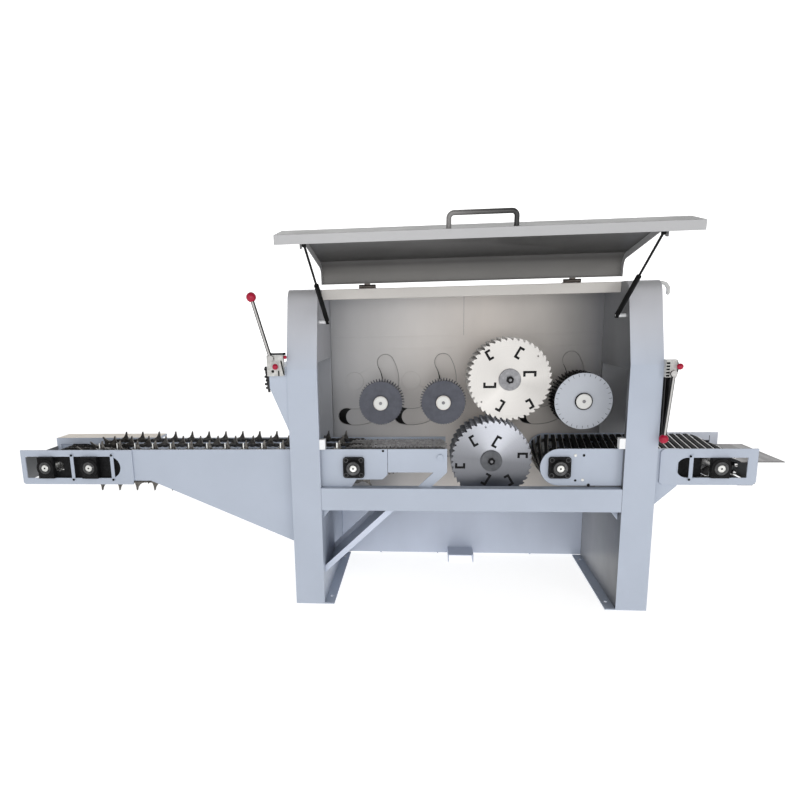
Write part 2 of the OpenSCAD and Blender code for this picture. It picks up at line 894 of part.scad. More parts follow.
module outfeed_curtain() {
    x0 = half_w + out_curtain_out;
    x1 = x0 + out_curtain_step;
    color("black") {
        strips(x0, out_curtain_low_z, out_curtain_top_z);
        strips(x1, out_curtain_low_z, out_curtain_top_z);
        block([half_w, curtain_y0, out_curtain_top_z],
            [x1 + curtain_t, curtain_y0 + curtain_l, out_curtain_top_z + curtain_t]);
    }
}
module guard_curtains() {
    infeed_curtain();
    outfeed_curtain();
}
rest_w = 28;
rest_rise = 6;
rest_z0 = deck_z + rest_rise;
rest_h = 50;
rest_l = 38;
module lid_rests() {
    color("white") both_sides()
        block([inner_x - rest_w, front_y, rest_z0], [inner_x, front_y + rest_l, rest_z0 + rest_h]);
}
hook_back = 165;
hook_y = front_y + hook_back;
hook_t = 12;
hook_w = 57;
hook_h = 66;
hook_top_drop = 4;
hook_shares = [
    [0, 0.42], [0, 0.95], [0.3, 1], [0.72, 0.88], [1, 0.55], [1, 0.12], [0.88, 0], [0.74, 0.08],
    [0.74, 0.46], [0.55, 0.7], [0.28, 0.78], [0.18, 0.42]
];
module lifting_hook() {
    color("gainsboro") extrude_y(hook_y, hook_t) polygon([
        for (p = hook_shares) [half_w + p[0] * hook_w, body_h - hook_top_drop - hook_h * (1 - p[1])]
    ]);
}

// Shaft bearings
bolt_r = 8;
bolt_h = 7;
bolt_share = 0.36;
module flange_bearing(x, y, out) {
    y0 = out > 0 ? y : y - bearing_flange;
    y_boss = out > 0 ? y : y - bearing_l;
    y_bolt = out > 0 ? y + bearing_flange : y - bearing_flange - bolt_h;
    difference() {
        union() {
            extrude_y(y0, bearing_flange) round_square([x, shaft_z], bearing_w, bearing_corner_r);
            rod_y(x, shaft_z, y_boss, bearing_l, bearing_boss_r);
            for (a = [-1, 1], b = [-1, 1])
                hex_y(x + a * bolt_share * bearing_w, shaft_z + b * bolt_share * bearing_w,
                    y_bolt, bolt_h, bolt_r);
        }
        rod_y(x, shaft_z, y - bearing_l - overrun, 2 * (bearing_l + overrun), shaft_r + run_gap);
    }
}
block_w = 84;
block_side_gap = 0.4;
block_front = 16;
block_back = 4;
module takeup_block(x, y, height, out) {
    y0 = out > 0 ? y - block_back : y - tail_t - block_front;
    y1 = out > 0 ? y + tail_t + block_front : y + block_back;
    difference() {
        block([x - block_w / 2, y0, shaft_z - height / 2], [x + block_w / 2, y1, shaft_z + height / 2]);
        rod_y(x, shaft_z, y0 - overrun, y1 - y0 + 2 * overrun, shaft_r + run_gap);
    }
}
module block_pair(x, rear, height) {
    takeup_block(x, plate_y0, height, -1);
    takeup_block(x, rear, height, 1);
}
module arbor_housing(x, z) {
    difference() {
        union() {
            rod_y(x, z, wall_y1, housing_l, housing_r);
            rod_y(x, z, back_y - sheet_t - back_housing_l, back_housing_l, housing_r);
        }
        rod_y(x, z, wall_y0, back_y - wall_y0, arbor_r + run_gap);
    }
}
module flange_bearings() {
    color("black") {
        for (x = [drive_x, out_drive_x]) flange_bearing(x, plate_y0, -1);
        flange_bearing(drive_x, plate_y3, 1);
        flange_bearing(out_drive_x, out_plate_y3, 1);
    }
}
module idler_blocks() {
    color("black") block_pair(idler_x, plate_y3, window_h);
}
module arbor_housings() {
    color("slategray") {
        arbor_housing(upper_arbor_x, upper_arbor_z);
        arbor_housing(lower_arbor_x, lower_arbor_z);
    }
}

module shaft_bearings() {
    flange_bearings();
    idler_blocks();
    arbor_housings();
}

// Shafts with their sprockets
module sprockets(x, z, r, ys) {
    for (y = ys) rod_y(x, z, y - sprocket_w / 2, sprocket_w, r);
}
strand_ys = [for (i = [0:strands - 1]) strand_y(i)];
bed_ys = [for (i = [0:bed_strands - 1]) bed_strand_y(i)];
shaft_proud = 4;
gearbox_share = 0.645;
gearbox_l = (back_y - sheet_t - wall_y1) * gearbox_share;
gearbox_in = 60;
module infeed_drive_shaft() {
    y0 = plate_y0 - bearing_l;
    color("gray") {
        rod_y(drive_x, shaft_z, y0, wall_y1 + gearbox_in - y0, shaft_r);
        sprockets(drive_x, shaft_z, chain_in - sprocket_gap, strand_ys);
        sprockets(drive_x, shaft_z, bed_chain_r - bed_chain_t - sprocket_gap, bed_ys);
    }
}
module tail_shaft(x, rear, r, ys) {
    y0 = plate_y0 - tail_t - block_front - shaft_proud;
    y1 = rear + tail_t + block_front + shaft_proud;
    rod_y(x, shaft_z, y0, y1 - y0, shaft_r);
    sprockets(x, shaft_z, r, ys);
}
module infeed_idler_shaft() {
    color("gray") {
        tail_shaft(idler_x, plate_y3, chain_in - sprocket_gap, strand_ys);
        sprockets(idler_x, shaft_z, lead_chain_in - sprocket_gap, bed_ys);
    }
}
module infeed_tail_shaft() {
    color("gray") tail_shaft(tail_shaft_x, plate_y3, lead_chain_in - sprocket_gap, bed_ys);
}
module infeed_takeup() {
    color("black") block_pair(tail_shaft_x, plate_y3, window_h - 2 * block_side_gap);
}
nose_head_r = 16;
nose_head_t = 8;
module nose_shaft() {
    color("gray") {
        rod_y(nose_x, nose_z, plate_y0 - side_gap, plate_y3 - plate_y0 + side_gap, nose_r);
        hex_y(nose_x, nose_z, plate_y0 - side_gap - nose_head_t, nose_head_t, nose_head_r);
        sprockets(nose_x, nose_z, bed_nose_r - bed_chain_t - sprocket_gap, bed_ys);
    }
}
module outfeed_drive_shaft() {
    y0 = plate_y0 - bearing_l;
    color("gray") {
        rod_y(out_drive_x, shaft_z, y0, wall_y1 + gearbox_in - y0, shaft_r);
        sprockets(out_drive_x, shaft_z, slat_chain_in - sprocket_gap, slat_chain_ys);
    }
}
module outfeed_tail_shaft() {
    color("gray") tail_shaft(out_tail_x, out_plate_y3, slat_chain_in - sprocket_gap, slat_chain_ys);
}
module outfeed_takeup() {
    color("black") block_pair(out_tail_x, out_plate_y3, out_window_h - 2 * block_side_gap);
}
gearbox_half = 90;
gearbox_up = 80;
gearmotor_share = 0.4375;
gearmotor_r = gearbox_l * gearmotor_share;
gearmotor_l = 230;
gearbox_down = 105;
module gearmotor(x) {
    difference() {
        union() {
            block([x - gearbox_half, wall_y1, shaft_z - gearbox_down],
                [x + gearbox_half, wall_y1 + gearbox_l, shaft_z + gearbox_up]);
            translate([x, wall_y1 + gearbox_l / 2, shaft_z - gearbox_down - gearmotor_l])
                cylinder(r = gearmotor_r, h = gearmotor_l);
        }
        rod_y(x, shaft_z, wall_y1 - overrun, gearbox_in + side_gap + overrun, shaft_r + run_gap);
    }
}
module feed_gearmotors() {
    color("slategray") for (x = [drive_x, out_drive_x]) gearmotor(x);
}

// Arbours and blades
tooth_shares = [[0, 1], [0.5, 0.6], [0.78, 0], [0.93, 0.06]];
function blade_outline() = [
    for (i = [0:blade_teeth - 1], p = tooth_shares)
        spot(-(i + p[0]) * 360 / blade_teeth, blade_d / 2 - tooth_depth * (1 - p[1]))
];
// Expansion slots: a bar along the spoke with a short leg at each end, at three distances, twice round
slot_w = 9;
slot_from_shares = [0.32, 0.51, 0.64];
slot_to_shares = [0.62, 0.79, 0.88];
slot_side_share = 0.15;
slot_leg_share = 0.08;
relief_r = 4;
relief_share = 0.85;
relief_degs = [40, 219];
lower_blade_turn = 60;
module blade_slot(from, to, side, leg) {
    translate([from, side]) square([to - from, slot_w]);
    for (x = [from, to - slot_w]) translate([x, side - leg]) square([slot_w, leg]);
}
module blade_area() {
    r = blade_d / 2;
    difference() {
        polygon(blade_outline());
        circle(arbor_r + run_gap);
        for (k = [0:2], half = [0, 180]) rotate(k * 60 + half)
            blade_slot(slot_from_shares[k] * r, slot_to_shares[k] * r,
                slot_side_share * r, slot_leg_share * r);
        for (a = relief_degs) translate(spot(a, relief_share * r)) circle(relief_r);
    }
}
module blades(x, z, turn) {
    for (i = [0:blade_count - 1]) extrude_y(blade_y0 + i * blade_pitch, blade_t)
        translate([x, z]) rotate(turn) blade_area();
}
module pulley(x, z, r, bore) {
    difference() {
        rod_y(x, z, pulley_y, pulley_w, r);
        for (i = [0:groove_count - 1]) difference() {
            rod_y(x, z, groove_y(i) - groove_w / 2, groove_w, r + overrun);
            rod_y(x, z, groove_y(i) - groove_w, 2 * groove_w, r - groove_depth);
        }
        rod_y(x, z, pulley_y - overrun, pulley_w + 2 * overrun, bore + run_gap);
    }
}
function groove_y(i) = pulley_y + pulley_w * (i + 0.5) / groove_count;
module arbor(x, z) {
    y0 = blade_y0 - clamp_t;
    rod_y(x, z, y0, pulley_y + pulley_w - y0, arbor_r);
    rod_y(x, z, y0, clamp_t, clamp_r);
    hex_y(x, z, y0 - nut_t, nut_t, nut_r);
    for (i = [0:blade_count - 1])
        rod_y(x, z, blade_y0 + i * blade_pitch + blade_t, blade_pitch - blade_t, spacer_r);
}
module upper_arbor() {
    color("gray") arbor(upper_arbor_x, upper_arbor_z);
    upper_pulley();
}
module lower_arbor() {
    color("gray") arbor(lower_arbor_x, lower_arbor_z);
    lower_pulley();
}
module upper_blades() {
    color("silver") blades(upper_arbor_x, upper_arbor_z, 0);
}
module lower_blades() {
    color("silver") blades(lower_arbor_x, lower_arbor_z, lower_blade_turn);
}
module upper_pulley() {
    color("dimgray") pulley(upper_arbor_x, upper_arbor_z, arbor_pulley_r, arbor_r);
}
module lower_pulley() {
    color("dimgray") pulley(lower_arbor_x, lower_arbor_z, arbor_pulley_r, arbor_r);
}

// Press rollers
spoke_inset = 9;
module arm_area(x) {
    low = cover_low_deg + spoke_inset;
    high = cover_high_deg - spoke_inset;
    translate([x, pivot_z]) {
        circle(arm_hub_r);
        for (a = [low, 0, high]) rotate(a - arm_rest)
            translate([0, -arm_w / 2]) square([slot_r + arm_w / 4, arm_w]);
    }
}
module press_arm(x) {
    y0 = wall_y1 + cover_gap;
    lap_r = slot_half + cover_lap;
    low = cover_low_deg - arm_rest;
    high = cover_high_deg - arm_rest;
    axle_x = x + arm_reach;
    difference() {
        union() {
            extrude_y(y0, cover_t) polygon(concat(
                arc([x, pivot_z], slot_r + lap_r, low, high),
                arc([x, pivot_z], slot_r - lap_r, high, low)
            ));
            extrude_y(y0 + cover_t, arm_t - cover_t) arm_area(x);
            rod_y(axle_x, press_z, press_y0 - washer_t, y0 + arm_t - press_y0 + washer_t, axle_r);
            rod_y(axle_x, press_z, press_y0 - washer_t - side_gap, washer_t, washer_r);
        }
        rod_y(x, pivot_z, y0 - overrun, arm_t + 2 * overrun, pivot_pin_r + run_gap);
    }
}
module press_arm_1() {
    color("darkgray") press_arm(press_pivot_xs[0]);
}
module press_arm_2() {
    color("darkgray") press_arm(press_pivot_xs[1]);
}
module press_arm_3() {
    color("darkgray") press_arm(press_pivot_xs[2]);
}
function ribbed(count, r, depth) = [
    for (i = [0:count - 1], p = [[0, 0], [0.3, 0], [0.5, 1], [0.8, 1]])
        spot((i + p[0]) * 360 / count, r - depth * p[1])
];
module press_roller(x) {
    extrude_y(press_y0, press_l) translate([x, press_z]) difference() {
        polygon(ribbed(press_teeth, press_r, press_tooth));
        circle(axle_r + run_gap);
    }
}
module press_roller_1() {
    color("dimgray") press_roller(press_xs[0]);
}
module press_roller_2() {
    color("dimgray") press_roller(press_xs[1]);
}
module press_roller_3() {
    color("lightgray") {
        extrude_y(press_y0, out_disc_t) translate([press_xs[2], press_z]) difference() {
            circle(out_press_r);
            circle(axle_r + run_gap);
        }
        extrude_y(press_y0 + out_disc_t, press_l - out_disc_t)
            translate([press_xs[2], press_z]) difference() {
            polygon(ribbed(out_press_ribs, out_press_r - out_disc_t / 2, out_rib_h));
            circle(axle_r + run_gap);
        }
    }
}

// Lid pieces, drawn closed and turned open
module on_lid() {
    translate([0, hinge_y, hinge_z]) rotate([-lid_open, 0, 0])
        translate([0, -hinge_y, -hinge_z]) children();
}
function opened(y, z) = let (a = y - hinge_y, b = z - hinge_z)
    [hinge_y + a * cos(lid_open) + b * sin(lid_open), hinge_z - a * sin(lid_open) + b * cos(lid_open)];
function lid_line_y(z, inset) = band_top_y + (z - band_top_z) * tan(lid_lean) + inset / cos(lid_lean);
function lid_path(inset) = let (
    top = lid_top_z - inset,
    r = lid_r - inset,
    center_z = top - r,
    center_y = lid_line_y(center_z, inset) + r / cos(lid_lean)
) concat(
    [[lid_line_y(band_top_z, inset), band_top_z]],
    round_corner(center_y, center_z, lid_lean, r),
    [[lid_edge_y, top]]
);
module lid_sheet() {
    color("lightgray") on_lid() {
        extrude_x(-lid_half, 2 * lid_half) polygon(concat(lid_path(0), reversed(lid_path(lid_t))));
        both_sides() extrude_x(lid_half - lid_t, lid_t)
            polygon(concat(lid_path(0), reversed(lid_path(lid_flange))));
        block([-lid_half, lid_edge_y - lid_t, lid_top_z - lid_lip], [lid_half, lid_edge_y, lid_top_z]);
        lid_brackets();
    }
}
module lid_band() {
    rim = lid_t;
    color("lightgray") on_lid() difference() {
        extrude_x(-band_half, 2 * band_half) polygon([
            [band_top_y, band_top_z], [band_low_y, lid_low_z], [band_low_y + band_d, lid_low_z],
            [band_top_y + band_d, band_top_z]
        ]);
        extrude_x(-band_half + rim, 2 * (band_half - rim)) polygon([
            [band_top_y + rim, band_top_z - rim], [band_low_y + rim, lid_low_z + rim],
            [band_low_y + band_d + overrun, lid_low_z + rim],
            [band_top_y + band_d + overrun, band_top_z - rim]
        ]);
    }
}
module lid_handle() {
    z = lid_low_z + handle_share * band_h;
    y = band_low_y + (band_top_y - band_low_y) * handle_share;
    tilt = atan2(band_low_y - band_top_y, band_h);
    color("dimgray") on_lid() translate([0, y, z]) rotate([90 + tilt, 0, 0]) {
        both_sides() translate([handle_half, 0, 0]) cylinder(r = handle_r, h = handle_h);
        translate([-handle_half, 0, handle_h]) rotate([0, 90, 0])
            cylinder(r = handle_r, h = 2 * handle_half);
        both_sides() translate([handle_half, 0, handle_h]) sphere(handle_r);
    }
}
hinge_x = inner_x * hinge_xs_share;
knuckle_w = hinge_w / 3;
module hinge_frame_leaves() {
    color("gray") for (x = [-hinge_x, hinge_x]) {
        for (s = [-1, 1]) difference() {
            rod_x(x + s * knuckle_w - knuckle_w / 2 + side_gap, hinge_y, hinge_z,
                knuckle_w - 2 * side_gap, knuckle_r);
            rod_x(x - hinge_w, hinge_y, hinge_z, 2 * hinge_w, hinge_pin_r);
        }
        rod_x(x - hinge_w / 2, hinge_y, hinge_z, hinge_w, hinge_pin_r);
        for (s = [-1, 1]) block([x + s * knuckle_w - knuckle_w / 2 + side_gap, hinge_y, body_h],
            [x + s * knuckle_w + knuckle_w / 2 - side_gap, hinge_y + knuckle_r, hinge_z - hinge_pin_r]);
        block([x - hinge_w / 2, hinge_y + knuckle_r, body_h],
            [x + hinge_w / 2, hinge_y + leaf_l, body_h + leaf_t]);
    }
}
module hinge_lid_leaves() {
    color("gray") on_lid() for (x = [-hinge_x, hinge_x]) difference() {
        union() {
            rod_x(x - knuckle_w / 2, hinge_y, hinge_z, knuckle_w, knuckle_r);
            block([x - knuckle_w / 2, lid_edge_y - lid_edge_gap, lid_top_z],
                [x + knuckle_w / 2, hinge_y, lid_top_z + leaf_t]);
            block([x - hinge_w / 2, lid_edge_y - leaf_l, lid_top_z],
                [x + hinge_w / 2, lid_edge_y - lid_edge_gap, lid_top_z + leaf_t]);
        }
        rod_x(x - hinge_w, hinge_y, hinge_z, 2 * hinge_w, hinge_pin_r + run_gap);
    }
}

// Gas springs
spring_top = opened(spring_high_y, spring_high_z);
spring_run = spring_top - [spring_low_y, spring_low_z];
spring_l = norm(spring_run);
spring_tilt = atan2(-spring_run[0], spring_run[1]);
module on_spring() {
    translate([spring_x, spring_low_y, spring_low_z]) rotate([spring_tilt, 0, 0]) children();
}
module gas_studs() {
    color("white") both_sides() {
        rod_x(spring_x - eye_w / 2, spring_low_y, spring_low_z, inner_x - spring_x + eye_w / 2, stud_r);
        rod_x(spring_x + eye_w / 2 + side_gap, spring_low_y, spring_low_z,
            inner_x - spring_x - eye_w / 2 - side_gap, stud_sleeve_r);
    }
}
tube_foot = 18;
tube_floor = 30;
module gas_tube() {
    difference() {
        union() {
            rod_x(-eye_w / 2, 0, 0, eye_w, eye_r);
            cylinder(r = rod_r, h = tube_floor);
            translate([0, 0, tube_foot]) cylinder(r = tube_r, h = tube_l - tube_foot);
        }
        rod_x(-eye_w, 0, 0, 2 * eye_w, stud_r + run_gap);
        translate([0, 0, tube_floor]) cylinder(r = rod_r + run_gap, h = tube_l);
    }
}
module gas_rod() {
    translate([0, 0, tube_l - rod_hold]) cylinder(r = rod_r, h = spring_l - tube_l + rod_hold);
    rod_x(-eye_w / 2, 0, spring_l, eye_w, rod_eye_r);
}
module gas_tube_left() {
    color("black") mirror([1, 0, 0]) on_spring() gas_tube();
}
module gas_tube_right() {
    color("black") on_spring() gas_tube();
}
module gas_rod_left() {
    color("dimgray") mirror([1, 0, 0]) on_spring() gas_rod();
}
module gas_rod_right() {
    color("dimgray") on_spring() gas_rod();
}
module lid_brackets() {
    x0 = spring_x + eye_w / 2 + bracket_gap;
    z0 = spring_high_z - bracket_w / 2;
    z1 = spring_high_z + bracket_w / 2;
    y1 = spring_high_y + bracket_w / 2;
    both_sides() {
        rod_x(x0, spring_high_y, spring_high_z, bracket_t, stud_r);
        extrude_x(x0 + bracket_t / 2, bracket_t / 2)
            polygon([[lid_line_y(z0, lid_t), z0], [lid_line_y(z1, lid_t), z1], [y1, z1], [y1, z0]]);
    }
}
module frame_lugs() {
    lid_rests();
    lifting_hook();
    gas_studs();
}

// Hand levers, their brackets and plungers
lever_out = 25;
lever_y = front_y - lever_out;
lever_body_t = 30;
right_arm_rise = 14;
lever_pin_r = 6;
lever_hub_r = 14;
lever_hub_t = 14;
lever_l = 284;
lever_rod_r = 6.4;
ball_r = 20;
plunger_r = 5;
plunger_out = 24;
plunger_in = 24;
knob_r = 14;
left_body_out = 89;
left_body_z = 1173;
left_body_w = 79;
left_body_h = 98;
left_body = [-half_w - left_body_out, left_body_z];
left_size = [left_body_w, left_body_h];
right_body_z = 1143;
right_body_w = 68;
right_body_h = 79;
right_body = [half_w, right_body_z];
right_size = [right_body_w, right_body_h];
left_pivot_shares = [0.28, 0.86];
right_pivot_shares = [0.485, 0.215];
left_plunger_shares = [0.58, 0.47];
right_plunger_shares = [0.765, 0.633];
function on_body(corner, size, shares) = corner + [size[0] * shares[0], size[1] * shares[1]];
left_pivot = on_body(left_body, left_size, left_pivot_shares);
right_pivot = on_body(right_body, right_size, right_pivot_shares);
left_plunger = on_body(left_body, left_size, left_plunger_shares);
right_plunger = on_body(right_body, right_size, right_plunger_shares);
left_lean = 17;
right_lean = 183;
right_arm = 36;
module lever_body(corner, size, pivot, plunger) {
    difference() {
        union() {
            block([corner[0], lever_y, corner[1]],
                [corner[0] + size[0], lever_y + lever_body_t, corner[1] + size[1]]);
            rod_y(pivot[0], pivot[1], lever_y - lever_hub_t - side_gap, lever_hub_t + side_gap, lever_pin_r);
        }
        rod_y(plunger[0], plunger[1], lever_y - overrun, plunger_in + overrun, plunger_r + run_gap);
    }
}
module lever_bodies() {
    color("white") {
        lever_body(left_body, left_size, left_pivot, left_plunger);
        lever_body(right_body, right_size, right_pivot, right_plunger);
        block([half_w, lever_y + lever_body_t, right_body[1] + right_arm_rise],
            [half_w + sheet_t, lever_y + lever_body_t + right_arm, right_body[1] + right_size[1]]);
    }
}
module hand_lever(pivot, lean) {
    y = lever_y - side_gap - lever_hub_t;
    difference() {
        union() {
            rod_y(pivot[0], pivot[1], y, lever_hub_t, lever_hub_r);
            translate([pivot[0], y + lever_hub_t / 2, pivot[1]]) rotate([0, -lean, 0]) {
                translate([0, 0, lever_hub_r / 2]) cylinder(r = lever_rod_r, h = lever_l - lever_hub_r / 2);
                translate([0, 0, lever_l]) sphere(ball_r);
            }
        }
        rod_y(pivot[0], pivot[1], y - overrun, lever_hub_t + 2 * overrun, lever_pin_r + run_gap);
    }
}
module hand_lever_left() {
    color("firebrick") hand_lever(left_pivot, left_lean);
}
module hand_lever_right() {
    color("firebrick") hand_lever(right_pivot, -right_lean);
}
module plunger(spot_at) {
    rod_y(spot_at[0], spot_at[1], lever_y - plunger_out, plunger_out + plunger_in - side_gap, plunger_r);
    translate([spot_at[0], lever_y - plunger_out, spot_at[1]]) sphere(knob_r);
}
module plunger_left() {
    color("firebrick") plunger(left_plunger);
}
module plunger_right() {
    color("firebrick") plunger(right_plunger);
}

// Main drive
module drive_belts() {
    color("black") {
        for (i = [0:groove_count - 1])
        extrude_y(groove_y(i) - groove_w / 2 + belt_gap, groove_w - 2 * belt_gap) {
            belt_ring([upper_arbor_x, upper_arbor_z], [upper_motor_x, motor_z]);
            belt_ring([lower_arbor_x, lower_arbor_z], [lower_motor_x, motor_z]);
        }
    }
}
module belt_ring(a, b) {
    lift = belt_gap + belt_t - groove_depth;
    loop_ring(a, b, arbor_pulley_r + lift, motor_pulley_r + lift, belt_t);
}
module motor_pulley(x) {
    pulley(x, motor_z, motor_pulley_r, motor_shaft_r);
    rod_y(x, motor_z, pulley_y, motor_y + motor_shaft_in - pulley_y, motor_shaft_r);
}
module upper_motor_pulley() {
    color("dimgray") motor_pulley(upper_motor_x);
}
module lower_motor_pulley() {
    color("dimgray") motor_pulley(lower_motor_x);
}
function guard_outline(m) = let (
    top = upper_arbor_z + arbor_pulley_r + m,
    low = motor_z - motor_pulley_r - m,
    shoulder = motor_z + motor_pulley_r + m,
    reach = arbor_pulley_r + m,
    wide = motor_pulley_r + m
) [
    [upper_arbor_x - reach, top], [upper_arbor_x + reach, top],
    [upper_motor_x + wide, shoulder], [upper_motor_x + wide, low],
    [lower_motor_x - wide, low], [lower_motor_x - wide, shoulder],
    [lower_arbor_x - reach, lower_arbor_z + reach]
];
module belt_guard() {
    color("lightsteelblue") difference() {
        extrude_y(back_y, guard_d) polygon(guard_outline(guard_margin));
        extrude_y(back_y - overrun, guard_d - guard_t + overrun)
            polygon(guard_outline(guard_margin - guard_t));
        for (x = [upper_motor_x, lower_motor_x])
            rod_y(x, motor_z, back_y, guard_d + overrun, motor_shaft_r + housing_hole_gap);
    }
}
fan_r_share = 0.94;
fan_l = 70;
bell_r_share = 0.8;
bell_l = 40;
foot_half_share = 0.88;
motor_foot_h = 60;
motor_foot_inset = 40;
term_w = 130;
term_h = 60;
term_l = 150;
module main_motor(x) {
    y1 = motor_y + bell_l;
    difference() {
        union() {
            rod_y(x, motor_z, motor_y, bell_l, motor_r * bell_r_share);
            rod_y(x, motor_z, y1, motor_l, motor_r);
            rod_y(x, motor_z, y1 + motor_l, fan_l, motor_r * fan_r_share);
            block([x - motor_r * foot_half_share, y1 + motor_foot_inset, motor_base_h],
                [x + motor_r * foot_half_share, y1 + motor_l - motor_foot_inset,
                    motor_base_h + motor_foot_h]);
            block([x - term_w / 2, y1 + motor_foot_inset, motor_z],
                [x + term_w / 2, y1 + motor_foot_inset + term_l, motor_z + motor_r + term_h]);
        }
        rod_y(x, motor_z, motor_y - overrun, motor_shaft_in + side_gap + overrun, motor_shaft_r + run_gap);
    }
}
module main_motors() {
    color("slategray") {
        main_motor(upper_motor_x);
        main_motor(lower_motor_x);
    }
}
base_half = 180;
base_t = 8;
module motor_base() {
    length = motor_y + bell_l + motor_l - back_y;
    color("lightsteelblue") for (x = [upper_motor_x, lower_motor_x]) difference() {
        block([x - base_half, back_y, 0], [x + base_half, back_y + length, motor_base_h]);
        block([x - base_half + base_t, back_y - overrun, -overrun],
            [x + base_half - base_t, back_y + length + overrun, motor_base_h - base_t]);
    }
}

side_frame_left();
side_frame_right();
lower_beam();
top_beam();
roof_panel();
rear_wall();
back_panel();
sawdust_chute();
infeed_frame();
infeed_tail_plates();
infeed_chain();
transition_bed();
transition_chain();
outfeed_frame();
outfeed_tail_plates();
outfeed_chain();
discharge_slide();
infeed_hood();
guard_curtains();
frame_lugs();
shaft_bearings();
lever_bodies();
hinge_frame_leaves();
motor_base();
main_motors();
drive_belts();
belt_guard();
feed_gearmotors();
lid_sheet();
lid_band();
lid_handle();
hinge_lid_leaves();
gas_tube_left();
gas_tube_right();
gas_rod_left();
gas_rod_right();
upper_arbor();
upper_blades();
lower_arbor();
lower_blades();
upper_motor_pulley();
lower_motor_pulley();
press_arm_1();
press_arm_2();
press_arm_3();
press_roller_1();
press_roller_2();
press_roller_3();
infeed_drive_shaft();
infeed_idler_shaft();
infeed_takeup();
infeed_tail_shaft();
nose_shaft();
outfeed_drive_shaft();
outfeed_takeup();
outfeed_tail_shaft();
hand_lever_left();
hand_lever_right();
plunger_left();
plunger_right();
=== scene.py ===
# %% [markdown]
# A multi rip saw, dressed over its CAD frame.
#
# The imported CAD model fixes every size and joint. This lesson keeps that frame and adds what CAD leaves
# out: rounded sheet edges, chain links, slats, bolts, paint, ground steel and light. All lengths are in
# metres, +X is the feed direction, +Y points to the back and +Z is up.

# %% Load the frame and keep its box
import json
import math

import bmesh
import bpy
import numpy as np
from mathutils import Matrix, Vector


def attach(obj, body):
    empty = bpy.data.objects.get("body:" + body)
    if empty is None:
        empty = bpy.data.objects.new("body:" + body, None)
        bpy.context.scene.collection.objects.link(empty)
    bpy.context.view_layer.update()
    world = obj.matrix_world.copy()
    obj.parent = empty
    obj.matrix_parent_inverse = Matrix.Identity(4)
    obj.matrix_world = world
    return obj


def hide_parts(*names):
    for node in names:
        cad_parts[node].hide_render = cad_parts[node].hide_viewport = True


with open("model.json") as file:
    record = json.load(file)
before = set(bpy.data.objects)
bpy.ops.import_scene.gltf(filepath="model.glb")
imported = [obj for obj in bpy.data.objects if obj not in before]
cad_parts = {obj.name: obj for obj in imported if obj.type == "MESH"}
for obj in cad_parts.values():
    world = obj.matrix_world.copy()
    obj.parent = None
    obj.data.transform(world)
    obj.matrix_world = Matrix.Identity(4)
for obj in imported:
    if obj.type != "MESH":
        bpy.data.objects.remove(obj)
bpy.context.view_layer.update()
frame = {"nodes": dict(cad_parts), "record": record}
nodes = frame["nodes"]
body_of = {n: b for b, members in frame["record"]["behaviour"]["bodies"].items() for n in members}


def linked(name, data):
    """An object that shows the given data, placed in the scene."""
    obj = bpy.data.objects.new(name, data)
    bpy.context.scene.collection.objects.link(obj)
    return obj


# %% [markdown]
# The camera comes first, because everything else is judged through it. Its place, turn and focal length
# were fitted to points whose sizes are known. The lens shift only moves the picture's middle to where
# the optical axis met the photograph, which was cropped.

# %% Camera
CAMERA_AT = Vector((-0.196138, -3.578566, 1.441538))
YAW, PITCH, ROLL = -0.108598, -0.212975, -0.023296
FOCAL_PX, AXIS_PX, FRAME_PX = 670.73, (356.117, 461.964), 800.0


def camera_turn(yaw, pitch, roll):
    """Columns right, up and back of a camera that looks along +Y, turned by yaw, then pitch, then roll."""
    ahead = Vector((math.sin(yaw) * math.cos(pitch), math.cos(yaw) * math.cos(pitch), math.sin(pitch)))
    right = Vector((math.cos(yaw), -math.sin(yaw), 0.0))
    up = right.cross(ahead)
    side = right * math.cos(roll) + up * math.sin(roll)
    top = up * math.cos(roll) - right * math.sin(roll)
    return Matrix((side, top, -ahead)).transposed()


lens = bpy.data.cameras.new("photo_camera")
lens.sensor_width = 36.0
lens.lens = FOCAL_PX * lens.sensor_width / FRAME_PX
lens.shift_x = (FRAME_PX / 2 - AXIS_PX[0]) / FRAME_PX
lens.shift_y = (AXIS_PX[1] - FRAME_PX / 2) / FRAME_PX
lens.clip_end = 60.0
viewer = linked("photo_camera", lens)
viewer.matrix_world = Matrix.Translation(CAMERA_AT) @ camera_turn(YAW, PITCH, ROLL).to_4x4()
bpy.context.scene.camera = viewer
print("camera lens", round(lens.lens, 2), "mm")

# %% [markdown]
# The machine is lit from all sides, so its paint shows almost no hard shadow.
# A pale floor, a pale backdrop, a pale sky and three wide area lamps give that. The lamp in front is the
# strongest, and the right one is stronger than the left, as the side frames' tones ask for.

# %% Floor, sky and lamps
FLOOR_HALF, BACKDROP_FOOT, BACKDROP_TOP = 14.0, -1.0, 15.0


def plain_card(name, corners, base, glow):
    """A flat four-cornered card for the floor or the backdrop, pale and faintly lit from itself."""
    mesh = bpy.data.meshes.new(name)
    mesh.from_pydata(corners, [], [(0, 1, 2, 3)])
    pale = bpy.data.materials.new(name + "_card")
    pale.use_nodes = True
    shader = pale.node_tree.nodes["Principled BSDF"]
    shader.inputs["Base Color"].default_value = (base, base, base, 1)
    shader.inputs["Roughness"].default_value = 0.9
    shader.inputs["Emission Color"].default_value = (1, 1, 1, 1)
    shader.inputs["Emission Strength"].default_value = glow
    mesh.materials.append(pale)
    linked(name, mesh)


